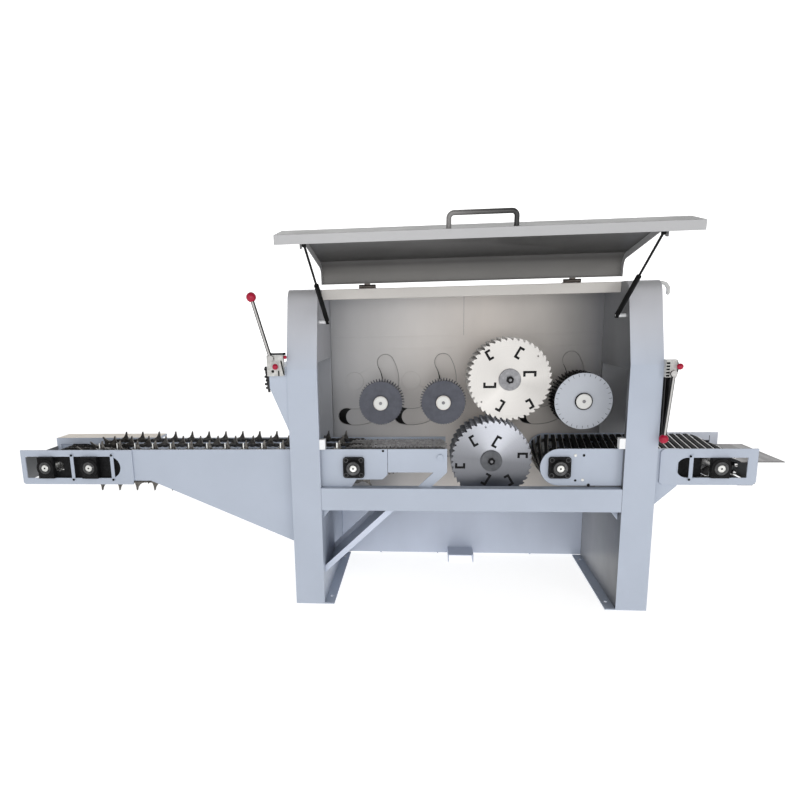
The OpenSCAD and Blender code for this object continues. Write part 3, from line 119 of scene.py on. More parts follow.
def area_lamp(name, at, aim, size, watts):
    """A square lamp at one point, turned so that its face looks at another."""
    lamp = bpy.data.lights.new(name, "AREA")
    lamp.size, lamp.energy = size, watts
    turn = (Vector(aim) - Vector(at)).to_track_quat("-Z", "Y").to_matrix().to_4x4()
    linked(name, lamp).matrix_world = Matrix.Translation(Vector(at)) @ turn


f, low, top = FLOOR_HALF, BACKDROP_FOOT, BACKDROP_TOP
plain_card("floor", [(-f, -f, 0), (f, -f, 0), (f, f, 0), (-f, f, 0)], 0.5, 0.80)
plain_card("backdrop", [(-f, f, low), (f, f, low), (f, f, top), (-f, f, top)], 0.5, 1.0)
sky = bpy.data.worlds.new("pale_sky")
sky.use_nodes = True
sky_tree = sky.node_tree
height = sky_tree.nodes.new("ShaderNodeSeparateXYZ")
sky_tree.links.new(sky_tree.nodes.new("ShaderNodeTexCoord").outputs["Generated"], height.inputs["Vector"])
fall = sky_tree.nodes.new("ShaderNodeValToRGB")
for element, (at, tone) in zip(fall.color_ramp.elements, ((0.20, 1.0), (0.85, 0.66))):
    element.position, element.color = at, (tone, tone, tone, 1)
sky_tree.links.new(height.outputs["Z"], fall.inputs["Fac"])
sky_tree.links.new(fall.outputs["Color"], sky_tree.nodes["Background"].inputs["Color"])
sky_tree.nodes["Background"].inputs["Strength"].default_value = 0.50
bpy.context.scene.world = sky
bpy.context.scene.view_settings.view_transform = "Standard"
LAMPS = {"front_lamp": ((-0.4, -5.6, 1.9), (0.0, 0.0, 0.9), 3.4, 79),
         "front_left_lamp": ((-3.6, -4.6, 3.0), (-0.3, -0.2, 0.9), 3.0, 26),
         "front_right_lamp": ((3.8, -4.6, 2.2), (0.4, -0.1, 0.9), 2.6, 54)}
for name, row in LAMPS.items():
    area_lamp(name, *row)
print("stage with floor, backdrop and", len(LAMPS), "lamps")

# %% [markdown]
# Finishes are node trees on Object coordinates, so a pattern stays on its piece in any pose. A few small
# helpers keep each finish readable: a fresh shader, a noise, a colour ramp, a bump and vector arithmetic.

# %% Finish helpers


def new_finish(name, rough=0.5, metal=0.0, **sockets):
    """A material with one Principled shader: the material, its tree, the shader and Object coordinates."""
    mat = bpy.data.materials.new(name)
    mat.use_nodes = True
    tree = mat.node_tree
    shader = tree.nodes["Principled BSDF"]
    shader.inputs["Roughness"].default_value = rough
    shader.inputs["Metallic"].default_value = metal
    for socket, value in sockets.items():
        shader.inputs[socket.replace("_", " ")].default_value = value
    where = tree.nodes.new("ShaderNodeTexCoord").outputs["Object"]
    return mat, tree, shader, where


def stretched(tree, where, scale):
    """The coordinates with each axis scaled, for a pattern drawn out along one of them."""
    node = tree.nodes.new("ShaderNodeMapping")
    node.inputs["Scale"].default_value = scale
    tree.links.new(where, node.inputs["Vector"])
    return node.outputs["Vector"]


def noise(tree, where, scale, detail=3.0, rough=0.55):
    """Cloudy values from 0 to 1, with features about 1/scale metres across."""
    node = tree.nodes.new("ShaderNodeTexNoise")
    node.inputs["Scale"].default_value = scale
    node.inputs["Detail"].default_value = detail
    node.inputs["Roughness"].default_value = rough
    tree.links.new(where, node.inputs["Vector"])
    return node.outputs["Fac"]


def ramp(tree, value, *stops):
    """Colours or greys at given positions, blended between them."""
    node = tree.nodes.new("ShaderNodeValToRGB")
    band = node.color_ramp.elements
    while len(band) < len(stops):
        band.new(1.0)
    for element, (at, tone) in zip(band, stops):
        element.position = at
        element.color = (*tone, 1) if hasattr(tone, "__len__") else (tone, tone, tone, 1)
    tree.links.new(value, node.inputs["Fac"])
    return node.outputs["Color"]


def mixed(tree, share, first, second, mode="MIX"):
    """Two colours blended by a share; either may be a socket or a plain colour."""
    node = tree.nodes.new("ShaderNodeMix")
    node.data_type, node.blend_type = "RGBA", mode
    for socket, value in ((node.inputs[0], share), (node.inputs[6], first), (node.inputs[7], second)):
        if isinstance(value, bpy.types.NodeSocket):
            tree.links.new(value, socket)
        elif hasattr(value, "__len__"):
            socket.default_value = (*value, 1)
        else:
            socket.default_value = value
    return node.outputs[2]


def bumped(tree, shader, height, strength, depth):
    """Small relief: height from 0 to 1 stands for depth metres."""
    node = tree.nodes.new("ShaderNodeBump")
    node.inputs["Strength"].default_value = strength
    node.inputs["Distance"].default_value = depth
    tree.links.new(height, node.inputs["Height"])
    tree.links.new(node.outputs["Normal"], shader.inputs["Normal"])


def axis_of(tree, vector, axis):
    """One component of a vector."""
    node = tree.nodes.new("ShaderNodeSeparateXYZ")
    tree.links.new(vector, node.inputs["Vector"])
    return node.outputs[axis]


def vector_math(tree, operation, vector, constant=None):
    """One step of vector arithmetic, with a constant as second operand where the step takes one."""
    node = tree.nodes.new("ShaderNodeVectorMath")
    node.operation = operation
    tree.links.new(vector, node.inputs[0])
    if constant is not None:
        node.inputs[1].default_value = constant
    return node.outputs["Value" if operation in ("LENGTH", "DOT_PRODUCT") else "Vector"]


# %% [markdown]
# Sprayed paint on sheet steel: a light blue grey with a satin gloss. Close up it has orange peel, from
# far away it has faint clouds, and dust settles low down. Wide sheets get painted light and shade: their
# tone changes along one axis in place of what they mirror from around them. Metal wanders between a dark
# and a light tone, and its gloss wanders with it.

# %% Paint and metal recipes


def sprayed_paint(name, tone, rough, dust=0.10, clouds=0.05):
    """Satin paint: clouds change the tone a little, fine noise gives orange peel, and dust fades with height."""
    mat, tree, shader, where = new_finish(name, rough, 0.0, Coat_Weight=0.12, Coat_Roughness=0.35)
    tone = np.array(tone)
    cloud = noise(tree, where, 2.2, 4.0)
    base = ramp(tree, cloud, (0.3, tuple(tone * (1 - clouds))), (0.7, tuple(np.minimum(tone * (1 + clouds), 1))))
    low = ramp(tree, axis_of(tree, where, "Z"), (0.0, dust), (0.28, 0.0))
    speck = ramp(tree, noise(tree, where, 38.0, 6.0, 0.7), (0.42, 0.25), (0.66, 1.0))
    share = mixed(tree, 1.0, low, speck, "MULTIPLY")
    dusty = mixed(tree, share, base, tuple(tone * np.array((0.78, 0.75, 0.70))))
    tree.links.new(dusty, shader.inputs["Base Color"])
    gloss = ramp(tree, noise(tree, where, 9.0, 3.0), (0.25, rough - 0.06), (0.75, rough + 0.07))
    tree.links.new(gloss, shader.inputs["Roughness"])
    bumped(tree, shader, noise(tree, where, 520.0, 2.0), 0.10, 0.0006)
    return mat


def shaded_sheet(name, axis, *stops):
    """Satin sheet with painted light and shade: its tone changes along one axis in place of what it mirrors from around
    it; stops are (metres, tone).
    """
    mat, tree, shader, where = new_finish(name, 0.36)
    span = tree.nodes.new("ShaderNodeMapRange")
    first, last = stops[0][0], stops[-1][0]
    span.inputs["From Min"].default_value, span.inputs["From Max"].default_value = first, last
    tree.links.new(axis_of(tree, where, axis), span.inputs["Value"])
    tone = ramp(tree, span.outputs["Result"], *(((at - first) / (last - first), colour) for at, colour in stops))
    cloud = ramp(tree, noise(tree, stretched(tree, where, (1.0, 1.0, 0.45)), 2.6, 4.0), (0.3, 0.90), (0.7, 1.06))
    tree.links.new(mixed(tree, 1.0, tone, cloud, "MULTIPLY"), shader.inputs["Base Color"])
    gloss = ramp(tree, noise(tree, where, 7.0, 3.0), (0.25, 0.32), (0.75, 0.42))
    tree.links.new(gloss, shader.inputs["Roughness"])
    bumped(tree, shader, noise(tree, where, 420.0, 2.0), 0.08, 0.0005)
    return mat


def worn_metal(name, dark, light, rough, scale=26.0, streak=(1, 1, 1), relief=0.12, metal=1.0, **sockets):
    """Metal whose tone and gloss wander between two values, with fine relief; streak draws the pattern out."""
    mat, tree, shader, where = new_finish(name, rough, metal, **sockets)
    along = stretched(tree, where, streak)
    tone = ramp(tree, noise(tree, along, scale, 5.0, 0.62), (0.32, dark), (0.68, light))
    tree.links.new(tone, shader.inputs["Base Color"])
    gloss = ramp(tree, noise(tree, along, scale * 2.3, 4.0), (0.3, max(rough - 0.08, 0.04)), (0.7, rough + 0.10))
    tree.links.new(gloss, shader.inputs["Roughness"])
    bumped(tree, shader, noise(tree, along, scale * 14, 2.0), relief, 0.0005)
    return mat


def chrome_painted_reflection(name, dark, light):
    """Chrome with a painted reflection: dark edges and a light band in its colour, chosen by how far the surface looks
    along Y.
    """
    mat, tree, shader, _ = new_finish(name, 0.30, 0.0, Specular_IOR_Level=0.08)
    normal = tree.nodes.new("ShaderNodeTexCoord").outputs["Normal"]
    along = tree.nodes.new("ShaderNodeMath")
    along.operation = "ABSOLUTE"
    tree.links.new(axis_of(tree, normal, "Y"), along.inputs[0])
    band = ramp(tree, along.outputs["Value"], (0.0, dark), (0.86, dark), (0.95, light), (1.0, light))
    tree.links.new(band, shader.inputs["Base Color"])
    return mat


# %% [markdown]
# The machine's sheet metal is one blue grey. The other paints are greys that were matched to the picture
# face by face; the skirt and the outfeed's rear plate are lighter as painted light, and the end plates
# behind the windows darker as painted shade. The open lid, the inner sides, the frames' tops, the handle,
# the back panel's inside and the rear wall take painted light and shade: a tone that changes across the sheet.

# %% Paints
BLUE_GREY = (0.400, 0.445, 0.528)
body_paint = sprayed_paint("blue_grey_paint", BLUE_GREY, 0.42)
# The skirt and the sawdust chute are painted lighter than the body's blue grey: painted light.
skirt_painted_light = sprayed_paint("skirt_painted_light", (0.55, 0.60, 0.71), 0.42)
motor_paint = sprayed_paint("motor_paint", (0.16, 0.20, 0.25), 0.42)
lid_paint = sprayed_paint("lid_paint", (0.365, 0.365, 0.372), 0.40, dust=0.0)
# The end plates behind the conveyors' windows take a dark grey of painted shade.
end_painted_shade = sprayed_paint("end_plate_painted_shade", (0.15, 0.155, 0.16), 0.5, dust=0.0)
bed_grey = sprayed_paint("bed_strip_paint", (0.50, 0.51, 0.54), 0.45, dust=0.0)
beam_paint = sprayed_paint("top_beam_paint", (0.60, 0.575, 0.545), 0.40, dust=0.0)
roller_disc_paint = sprayed_paint("roller_disc_paint", (0.43, 0.455, 0.505), 0.36, dust=0.0)
# The outfeed's rear plate is painted lighter than the body: painted light.
rear_plate_painted_light = sprayed_paint("outfeed_rear_plate_painted_light", (0.78, 0.82, 0.92), 0.42, dust=0.0)
# A dark grey for the wall seam's own dark joint and for painted shade along the slot edges.
dark_seam_and_slot_shade = sprayed_paint("seam_shadow", (0.26, 0.25, 0.245), 0.6, dust=0.0)
hook_grey = sprayed_paint("hook_grey_paint", (0.50, 0.50, 0.49), 0.45, dust=0.0)
white_block = sprayed_paint("white_block_paint", (0.80, 0.81, 0.82), 0.42, dust=0.0, clouds=0.02)
hub_white = sprayed_paint("hub_white_paint", (0.66, 0.66, 0.64), 0.38, dust=0.0, clouds=0.04)
shelf_beige = sprayed_paint("shelf_top_paint", (0.86, 0.78, 0.68), 0.55, dust=0.0, clouds=0.06)
# The lid band's top faces are darker than its lip, more so to the right: painted shade.
lid_top_shade = shaded_sheet("lid_top_painted_shade", "X", (-0.76, (0.24, 0.24, 0.235)), (0.76, (0.15, 0.15, 0.147)))
# The side frames' inner faces take painted shade and light that change from front to back; the right one is much
# darker.
inner_left_shade = shaded_sheet("inner_left_painted_shade", "Y", (-0.39, (0.38, 0.39, 0.43)), (0.06, (0.44, 0.445, 0.47)),
                          (0.13, (0.28, 0.285, 0.30)))
inner_right_shade = shaded_sheet("inner_right_painted_shade", "Y", (-0.39, (0.085, 0.090, 0.100)), (0.13, (0.33, 0.335, 0.35)))
# The back panel's inside is light below the beam and near black above it: painted light low down, painted shade in the
# chamber.
back_inside_shade = shaded_sheet("back_inside_painted_shade", "Z", (0.0, (0.52, 0.57, 0.675)), (0.47, (0.54, 0.59, 0.70)),
                           (0.56, (0.02, 0.02, 0.02)), (1.57, (0.012, 0.012, 0.012)))
# The rear wall is lightest and warmest near the middle and darker towards both sides, darkest at the right: painted
# light and shade. The roller arms and their cover ends share it.
wall_painted_light = shaded_sheet("rear_wall_painted_light", "X", (-0.72, (0.40, 0.40, 0.41)), (-0.35, (0.63, 0.605, 0.585)),
                          (0.10, (0.79, 0.725, 0.665)), (0.42, (0.62, 0.58, 0.54)), (0.70, (0.22, 0.22, 0.23)))
# The open lid's inside is a dark grey with darker and lighter bands near its lip: painted shade.
lid_inside_shade = shaded_sheet("lid_inside_painted_shade", "Y", (-0.95, (0.085, 0.084, 0.087)), (-0.80, (0.185, 0.183, 0.186)),
                          (-0.60, (0.145, 0.144, 0.147)), (-0.26, (0.140, 0.137, 0.136)),
                          (-0.205, (0.084, 0.081, 0.079)), (-0.186, (0.112, 0.108, 0.102)),
                          (-0.174, (0.150, 0.144, 0.135)))
# Above the bend the side frames turn from blue grey to a lighter neutral grey, darker at the very top: a painted
# reflection.
frame_top_reflection = shaded_sheet("frame_top_painted_reflection", "Z", (1.16, BLUE_GREY), (1.38, (0.475, 0.490, 0.535)),
                         (1.50, (0.475, 0.480, 0.510)), (1.58, (0.40, 0.40, 0.41)))
# The handle runs from grey on the left to black on the right: painted light on a black bar.
handle_painted_light = shaded_sheet("handle_bar_painted_light", "X", (-0.13, (0.20, 0.192, 0.19)), (-0.02, (0.075, 0.072, 0.07)),
                            (0.12, (0.012, 0.012, 0.012)))
print("paints", len(bpy.data.materials), "materials so far")

# %% [markdown]
# Metals go from oiled black to bright zinc. Where a dark part must not mirror the pale sky, it is given as
# a dull coat instead of bare metal.

# %% Metals
BEARING_SHINE, SLAT_SHINE = 0.10, 0.04
chain_steel = worn_metal("oiled_chain_steel", (0.035, 0.034, 0.033), (0.13, 0.125, 0.12), 0.34, 60)
spike_steel = worn_metal("spike_steel", (0.050, 0.047, 0.044), (0.20, 0.19, 0.175), 0.34, 70)
shaft_steel = worn_metal("turned_steel", (0.40, 0.40, 0.40), (0.62, 0.62, 0.61), 0.30, 40)
dull_steel = worn_metal("dull_steel", (0.16, 0.16, 0.17), (0.27, 0.27, 0.28), 0.42, 40)
bright_zinc = worn_metal("bright_zinc", (0.60, 0.60, 0.58), (0.82, 0.82, 0.80), 0.30, 50)
black_iron = worn_metal("black_bearing_iron", (0.004, 0.004, 0.0045), (0.013, 0.013, 0.014), 0.40, 80,
                        metal=0.0, Specular_IOR_Level=BEARING_SHINE)
slide_sheet = worn_metal("slide_sheet", (0.12, 0.116, 0.118), (0.18, 0.176, 0.178), 0.42, 8, (1, 0.15, 1))
# The press rollers' cores are a lighter steel than their teeth: painted light in the grooves between the teeth.
core_painted_light_steel = worn_metal("roller_core_painted_light", (0.30, 0.295, 0.29), (0.42, 0.415, 0.41), 0.45, 30)
flange_steel = worn_metal("dark_flange_steel", (0.075, 0.078, 0.086), (0.12, 0.124, 0.134), 0.48, 30, metal=0.5)
insert_steel = worn_metal("insert_steel", (0.05, 0.05, 0.052), (0.11, 0.11, 0.112), 0.38, 60)
# The slats' bright edges are partly wear and partly a painted highlight; the slats' end tabs use the same steel.
wear_and_highlight_steel = worn_metal("slat_edge_wear_and_highlight", (0.50, 0.50, 0.50), (0.76, 0.76, 0.75), 0.32, 50)
# The bed chain's rear rows take a lighter copy of the front row's steel: painted light.
bed_rear_painted_light = worn_metal("bed_rear_chain_painted_light", (0.26, 0.25, 0.25), (0.48, 0.47, 0.47), 0.38, 60)
tool_steel = worn_metal("dark_roller_steel", (0.048, 0.051, 0.067), (0.066, 0.070, 0.090), 0.46, 30, metal=0.25)
bed_steel = worn_metal("bed_chain_steel", (0.08, 0.076, 0.073), (0.27, 0.26, 0.25), 0.40, 60)
slat_steel = worn_metal("slat_steel", (0.006, 0.006, 0.007), (0.020, 0.020, 0.021), 0.62, 34, (1, 0.2, 1),
                        metal=0.0, Specular_IOR_Level=SLAT_SHINE)
bracket_grey = worn_metal("bracket_grey_paint", (0.40, 0.40, 0.385), (0.60, 0.60, 0.58), 0.5, 60, metal=0.0)
hinge_steel = worn_metal("hinge_steel", (0.050, 0.043, 0.038), (0.12, 0.105, 0.095), 0.42, 40)
# The lever rods' chrome carries a painted reflection: dark at the sides, with a light band facing front and back.
rod_painted_reflection = chrome_painted_reflection("chrome_painted_reflection", (0.022, 0.022, 0.022), (0.50, 0.49, 0.48))
print("metals", len(bpy.data.materials), "materials so far")

# %% [markdown]
# Rubber and gloss balls need only a little: a dull black with fine grain, and a deep red under a clear coat.

# %% Rubber and gloss plastic


def dull_rubber(name, tone, **sockets):
    """Black rubber or dull paint: fine grain, faint dust."""
    mat, tree, shader, where = new_finish(name, 0.62, **sockets)
    tone = np.array(tone)
    base = ramp(tree, noise(tree, where, 30.0, 6.0), (0.35, tuple(tone * 0.7)), (0.8, tuple(tone * 1.6)))
    tree.links.new(base, shader.inputs["Base Color"])
    bumped(tree, shader, noise(tree, where, 900.0, 2.0), 0.25, 0.0004)
    return mat


def gloss_ball(name, tone):
    """Moulded thermoset: an even deep colour under a clear coat, slightly mottled."""
    mat, tree, shader, where = new_finish(name, 0.34, 0.0, Coat_Weight=0.15, Coat_Roughness=0.08,
                                          Specular_IOR_Level=0.3)
    base = ramp(tree, noise(tree, where, 45.0, 4.0), (0.3, tuple(np.array(tone) * 0.85)), (0.7, tone))
    tree.links.new(base, shader.inputs["Base Color"])
    bumped(tree, shader, noise(tree, where, 260.0, 2.0), 0.05, 0.0004)
    return mat


black_rubber = dull_rubber("black_rubber", (0.018, 0.018, 0.019))
red_ball = gloss_ball("red_ball", (0.40, 0.004, 0.034))
black_gloss = dull_rubber("black_gloss_paint", (0.006, 0.006, 0.006), Specular_IOR_Level=0.12)
print("rubber, balls and spring paint", len(bpy.data.materials), "materials so far")

# %% [markdown]
# A ground saw blade shows a bow tie of light, because its fine scratches run round the arbour. The shader
# does the same when its tangent runs round the axis: the cross product of the axis and the arm from the
# centre, turned from object to world space so that it also holds on a turned blade. The colour also carries
# a painted highlight of that bow tie: it is brighter along the arms that point one way from the centre.

# %% Ground blade steel


def ground_steel(name, centre, dark, light, bow, faint):
    """Steel scratched in circles about an axis along Y, with a painted highlight: brighter along the arms that point
    along bow, down to faint elsewhere.
    """
    mat, tree, shader, where = new_finish(name, 0.32, 1.0, Anisotropic=0.6)
    arm = vector_math(tree, "MULTIPLY", vector_math(tree, "SUBTRACT", where, centre), (1, 0, 1))
    world = tree.nodes.new("ShaderNodeVectorTransform")
    world.vector_type, world.convert_from, world.convert_to = "VECTOR", "OBJECT", "WORLD"
    tree.links.new(vector_math(tree, "CROSS_PRODUCT", arm, (0, 1, 0)), world.inputs["Vector"])
    tree.links.new(world.outputs["Vector"], shader.inputs["Tangent"])
    rings = tree.nodes.new("ShaderNodeCombineXYZ")
    tree.links.new(vector_math(tree, "LENGTH", arm), rings.inputs["X"])
    ring_tone = ramp(tree, noise(tree, rings.outputs["Vector"], 420.0, 4.0), (0.3, dark), (0.7, light))
    share = vector_math(tree, "DOT_PRODUCT", vector_math(tree, "NORMALIZE", arm), bow)
    painted_sheen = ramp(tree, share, (0.0, faint), (0.35, faint + 0.12), (0.72, 0.5 + faint / 2), (0.97, 1.0))
    tree.links.new(mixed(tree, 1.0, ring_tone, painted_sheen, "MULTIPLY"), shader.inputs["Base Color"])
    gloss = ramp(tree, noise(tree, where, 6.0, 2.0), (0.3, 0.31), (0.7, 0.34))
    tree.links.new(gloss, shader.inputs["Roughness"])
    return mat


UPPER_ARBOUR = (0.202, 0.0, 1.126)
LOWER_ARBOUR = (0.121, 0.0, 0.722)
# The lower blade's low faint value darkens it away from its bow: painted shade on the same steel as the upper blade.
upper_ground = ground_steel("upper_blade_steel", UPPER_ARBOUR, (0.46, 0.445, 0.43), (0.54, 0.525, 0.505),
                            (0.45, 0, -0.89), 0.86)
lower_ground = ground_steel("lower_blade_steel", LOWER_ARBOUR, (0.41, 0.42, 0.46), (0.53, 0.545, 0.59),
                            (0.1, 0, 0.995), 0.36)
print("blade steels", upper_ground.name, lower_ground.name)

# %% [markdown]
# A CAD solid has knife edges, and real folded sheet has not. Each solid is copied, its loose triangles are
# merged, flat faces are joined again and a bevel rounds what is left. The copy then stands for its node.
# Edges that only separate the facets of a curve are shallower than the bevel's limit and stay smooth.

# %% Softened copies of the CAD solids
SMOOTH_UP_TO, FLAT_UP_TO, MERGE_WITHIN = math.radians(32), math.radians(0.6), 2e-5


def placed(name, mesh, finish, width, body, replaced=()):
    """A smooth mesh as an object with one finish and rounded edges, riding a body in place of the named nodes."""
    mesh.materials.append(finish)
    mesh.polygons.foreach_set("use_smooth", np.ones(len(mesh.polygons), bool))
    mesh.set_sharp_from_angle(angle=SMOOTH_UP_TO)
    obj = linked(name, mesh)
    if width:
        edge = obj.modifiers.new("rounded_edges", "BEVEL")
        edge.width, edge.segments, edge.limit_method = width, 2, "ANGLE"
        edge.angle_limit = SMOOTH_UP_TO
        edge.harden_normals = True
    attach(obj, body)
    for node in replaced:
        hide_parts(node)
    return obj


def softened(node, finish, width):
    """A merged copy of a node's mesh with rounded edges, in place of the node."""
    mesh = nodes[node].data.copy()
    mesh.name = node + "_skin"
    shell = bmesh.new()
    shell.from_mesh(mesh)
    bmesh.ops.remove_doubles(shell, verts=shell.verts, dist=MERGE_WITHIN)
    bmesh.ops.dissolve_limit(shell, angle_limit=FLAT_UP_TO, verts=shell.verts, edges=shell.edges)
    shell.to_mesh(mesh)
    shell.free()
    mesh.materials.clear()
    return placed(node + "_skin", mesh, finish, width, body_of[node], [node])


SHEET_WORK = (
    (body_paint, 0.004, "side_frame_left side_frame_right lower_beam"), (body_paint, 0.002, "roof_panel motor_base"),
    (body_paint, 0.0015, "infeed_frame infeed_tail_plates transition_bed outfeed_frame outfeed_tail_plates"),
    (body_paint, 0.001, "infeed_hood belt_guard"), (beam_paint, 0.003, "top_beam"),
    (wall_painted_light, 0.001, "rear_wall press_arm_1 press_arm_2 press_arm_3"), (skirt_painted_light, 0.002, "back_panel"),
    (skirt_painted_light, 0.001, "sawdust_chute"), (lid_paint, 0.001, "lid_sheet lid_band"),
    (slide_sheet, 0.0008, "discharge_slide"), (white_block, 0.0015, "frame_lugs"),
    (bracket_grey, 0.002, "lever_bodies"), (hinge_steel, 0.0008, "hinge_frame_leaves hinge_lid_leaves"),
    (motor_paint, 0.004, "main_motors feed_gearmotors"), (black_rubber, 0.0008, "guard_curtains"),
    (black_rubber, 0.0015, "drive_belts"), (black_iron, 0.003, "shaft_bearings infeed_takeup outfeed_takeup"),
    (black_gloss, 0.001, "gas_tube_left gas_tube_right"), (black_gloss, 0.0008, "gas_rod_left gas_rod_right"),
    (dull_steel, 0.0015, "upper_arbor"), (flange_steel, 0.0015, "lower_arbor"),
    (dull_steel, 0.001, "upper_motor_pulley lower_motor_pulley"), (upper_ground, 0.0, "upper_blades"),
    (lower_ground, 0.0, "lower_blades"), (tool_steel, 0.0006, "press_roller_1 press_roller_2"),
    (roller_disc_paint, 0.0008, "press_roller_3"),
    (shaft_steel, 0.001, "infeed_drive_shaft infeed_idler_shaft infeed_tail_shaft nose_shaft"),
    (shaft_steel, 0.001, "outfeed_drive_shaft outfeed_tail_shaft"),
    (rod_painted_reflection, 0.0, "hand_lever_left hand_lever_right"), (red_ball, 0.0, "plunger_left plunger_right"),
)
skins = {node: softened(node, finish, width) for finish, width, names in SHEET_WORK for node in names.split()}
print("softened", len(skins), "nodes; left over", sorted(set(nodes) - set(skins)))

# %% [markdown]
# Some solids are one piece with two finishes or more: a lever is a chromed rod with a red ball, and the
# outfeed roller is a painted disc in front of dark ribs. Others take painted light and shade on part of their
# faces: the lid's inside and top, the side frames' inner faces and tops, the back panel's inside, the outfeed's
# rear plate and the rollers' cores. Faces are sorted by where their middle lies and which way they look.

# %% Second finishes
BALL_AT, BALL_REACH, LEVER_Y = 0.284, 0.0212, -0.4225
LEFT_PIVOT, RIGHT_PIVOT = (-0.93688, 1.25728), (0.90298, 1.15998)
CHAIN_SHAFTS = ("infeed_tail_shaft", "infeed_idler_shaft", "infeed_drive_shaft", "outfeed_drive_shaft",
                "outfeed_tail_shaft")
SHAFT_AXIS_Z, ROLLER_AXIS_Z, ROLLER_DISC_BACK = 0.7125, 1.01382, -0.2119


def second_finish(node, finish, chosen):
    """One more finish on the faces whose middle points pass a test."""
    mesh = skins[node].data
    middle = np.empty(len(mesh.polygons) * 3)
    mesh.polygons.foreach_get("center", middle)
    mesh.materials.append(finish)
    index = np.empty(len(mesh.polygons), np.int32)
    mesh.polygons.foreach_get("material_index", index)
    picked = chosen(middle.reshape(-1, 3))
    index[picked] = len(mesh.materials) - 1
    mesh.polygons.foreach_set("material_index", index)
    mesh.update()
    return int(picked.sum())


def near_ball(pivot, lean):
    """A test for faces on a lever's ball, which sits at the far end of the rod."""
    centre = np.array([pivot[0] - BALL_AT * math.sin(lean), LEVER_Y, pivot[1] + BALL_AT * math.cos(lean)])
    return lambda middle: np.linalg.norm(middle - centre, axis=1) < BALL_REACH


def facing(node):
    """The directions that a skin's faces look in, one row for each face."""
    normal = np.empty(len(skins[node].data.polygons) * 3)
    skins[node].data.polygons.foreach_get("normal", normal)
    return normal.reshape(-1, 3)


def under_lid(middle):
    """A test for faces of the open lid that look down, found from their side of the sheet."""
    return (facing("lid_sheet")[:, 2] < -0.05) & (middle[:, 1] > -0.96)


def inner_side(node, side):
    """A test for a side frame's faces above the beam that look into the chamber, and those at its back."""
    look = facing(node)
    return lambda middle: ((look[:, 0] * side > 0.9) & (np.abs(middle[:, 0]) < 0.88) & (middle[:, 2] > 0.62)
                           | (look[:, 1] < -0.9) & (middle[:, 1] > 0.05))


def front_top(node):
    """A test for a side frame's front faces above the bend."""
    look = facing(node)
    return lambda middle: (look[:, 1] < -0.2) & (middle[:, 2] > 1.2) & (middle[:, 1] < 0.0)


def beyond_shaft(middle):
    """A test for faces of the sprockets on a shaft: further from the axis than the bare shaft."""
    return np.hypot(middle[:, 0] - np.median(middle[:, 0]), middle[:, 2] - SHAFT_AXIS_Z) > 0.021


def rear_plate(middle):
    """A test for faces of the outfeed's rear plate that look to the front."""
    return (facing("outfeed_tail_plates")[:, 1] < -0.9) & (middle[:, 1] > 0)


for lever, pivot, lean in (("hand_lever_left", LEFT_PIVOT, 17), ("hand_lever_right", RIGHT_PIVOT, -183)):
    print(lever, second_finish(lever, red_ball, near_ball(pivot, math.radians(lean))), "faces on the ball")
# Painted shade on the faces of the open lid that look down.
print("lid inside", second_finish("lid_sheet", lid_inside_shade, under_lid))
print("ribs", second_finish("press_roller_3", chain_steel, lambda middle: middle[:, 1] > ROLLER_DISC_BACK))
# Painted shade on the top faces of the lid's band.
print("lid top", second_finish("lid_band", lid_top_shade, lambda middle: facing("lid_band")[:, 2] > 0.5))
print("hook", second_finish("frame_lugs", hook_grey, lambda middle: middle[:, 2] > 1.45))
# The side frames' inner faces and backs take painted shade; their front faces above the bend take a painted reflection.
for side, node, finish in ((1, "side_frame_left", inner_left_shade), (-1, "side_frame_right", inner_right_shade)):
    print(node, second_finish(node, finish, inner_side(node, side)), second_finish(node, frame_top_reflection, front_top(node)))
# Painted light and shade on the back panel's front-facing side.
print("back inside", second_finish("back_panel", back_inside_shade, lambda middle: facing("back_panel")[:, 1] < -0.9))
for shaft in CHAIN_SHAFTS:
    print(shaft, second_finish(shaft, chain_steel, beyond_shaft), "faces on sprockets")
# The front faces of the outfeed's rear plate take the painted light.
print("outfeed rear plate", second_finish("outfeed_tail_plates", rear_plate_painted_light, rear_plate))
print("nose head", second_finish("nose_shaft", body_paint, lambda middle: middle[:, 1] < -0.345))
# The cores of the first two rollers take the lighter steel, painted light between the teeth.
for roller in ("press_roller_1", "press_roller_2"):
    core = np.abs(facing(roller)[:, 1]) < 0.5
    print(roller, second_finish(roller, core_painted_light_steel, lambda middle: core), "faces on the core")

# %% [markdown]
# A few skins are trimmed where the photograph shows another shape: the curtain at the infeed is short, the
# tail plate ends at its joint, the outfeed corner is cut less, the lid narrows a little to its lip and the
# levers stand a little differently. Roller cores, motor barrels and lead sprockets are drawn in to make
# room for the teeth, ribs and links that come later.

# %% Trimmed skins
PLAIN_Y = (-282.125, -210.375, -138.625, -66.875)


def trimmed(node, change):
    """Points of a skin passed through a function that takes and returns x, y and z columns."""
    mesh = skins[node].data
    spots = np.empty(len(mesh.vertices) * 3)
    mesh.vertices.foreach_get("co", spots)
    mesh.vertices.foreach_set("co", np.column_stack(change(*spots.reshape(-1, 3).T)).ravel())
    mesh.update()
    print("trimmed", node, len(mesh.vertices), "points")


def narrowed_lid(x, y, z):
    """The lid's side edges drawn in by up to 30 mm between its bend and its lip."""
    share = np.clip((-0.50 - y) / 0.42, 0, 1)
    return np.where(np.abs(x) > 0.70, x - np.sign(x) * 0.030 * share, x), y, z


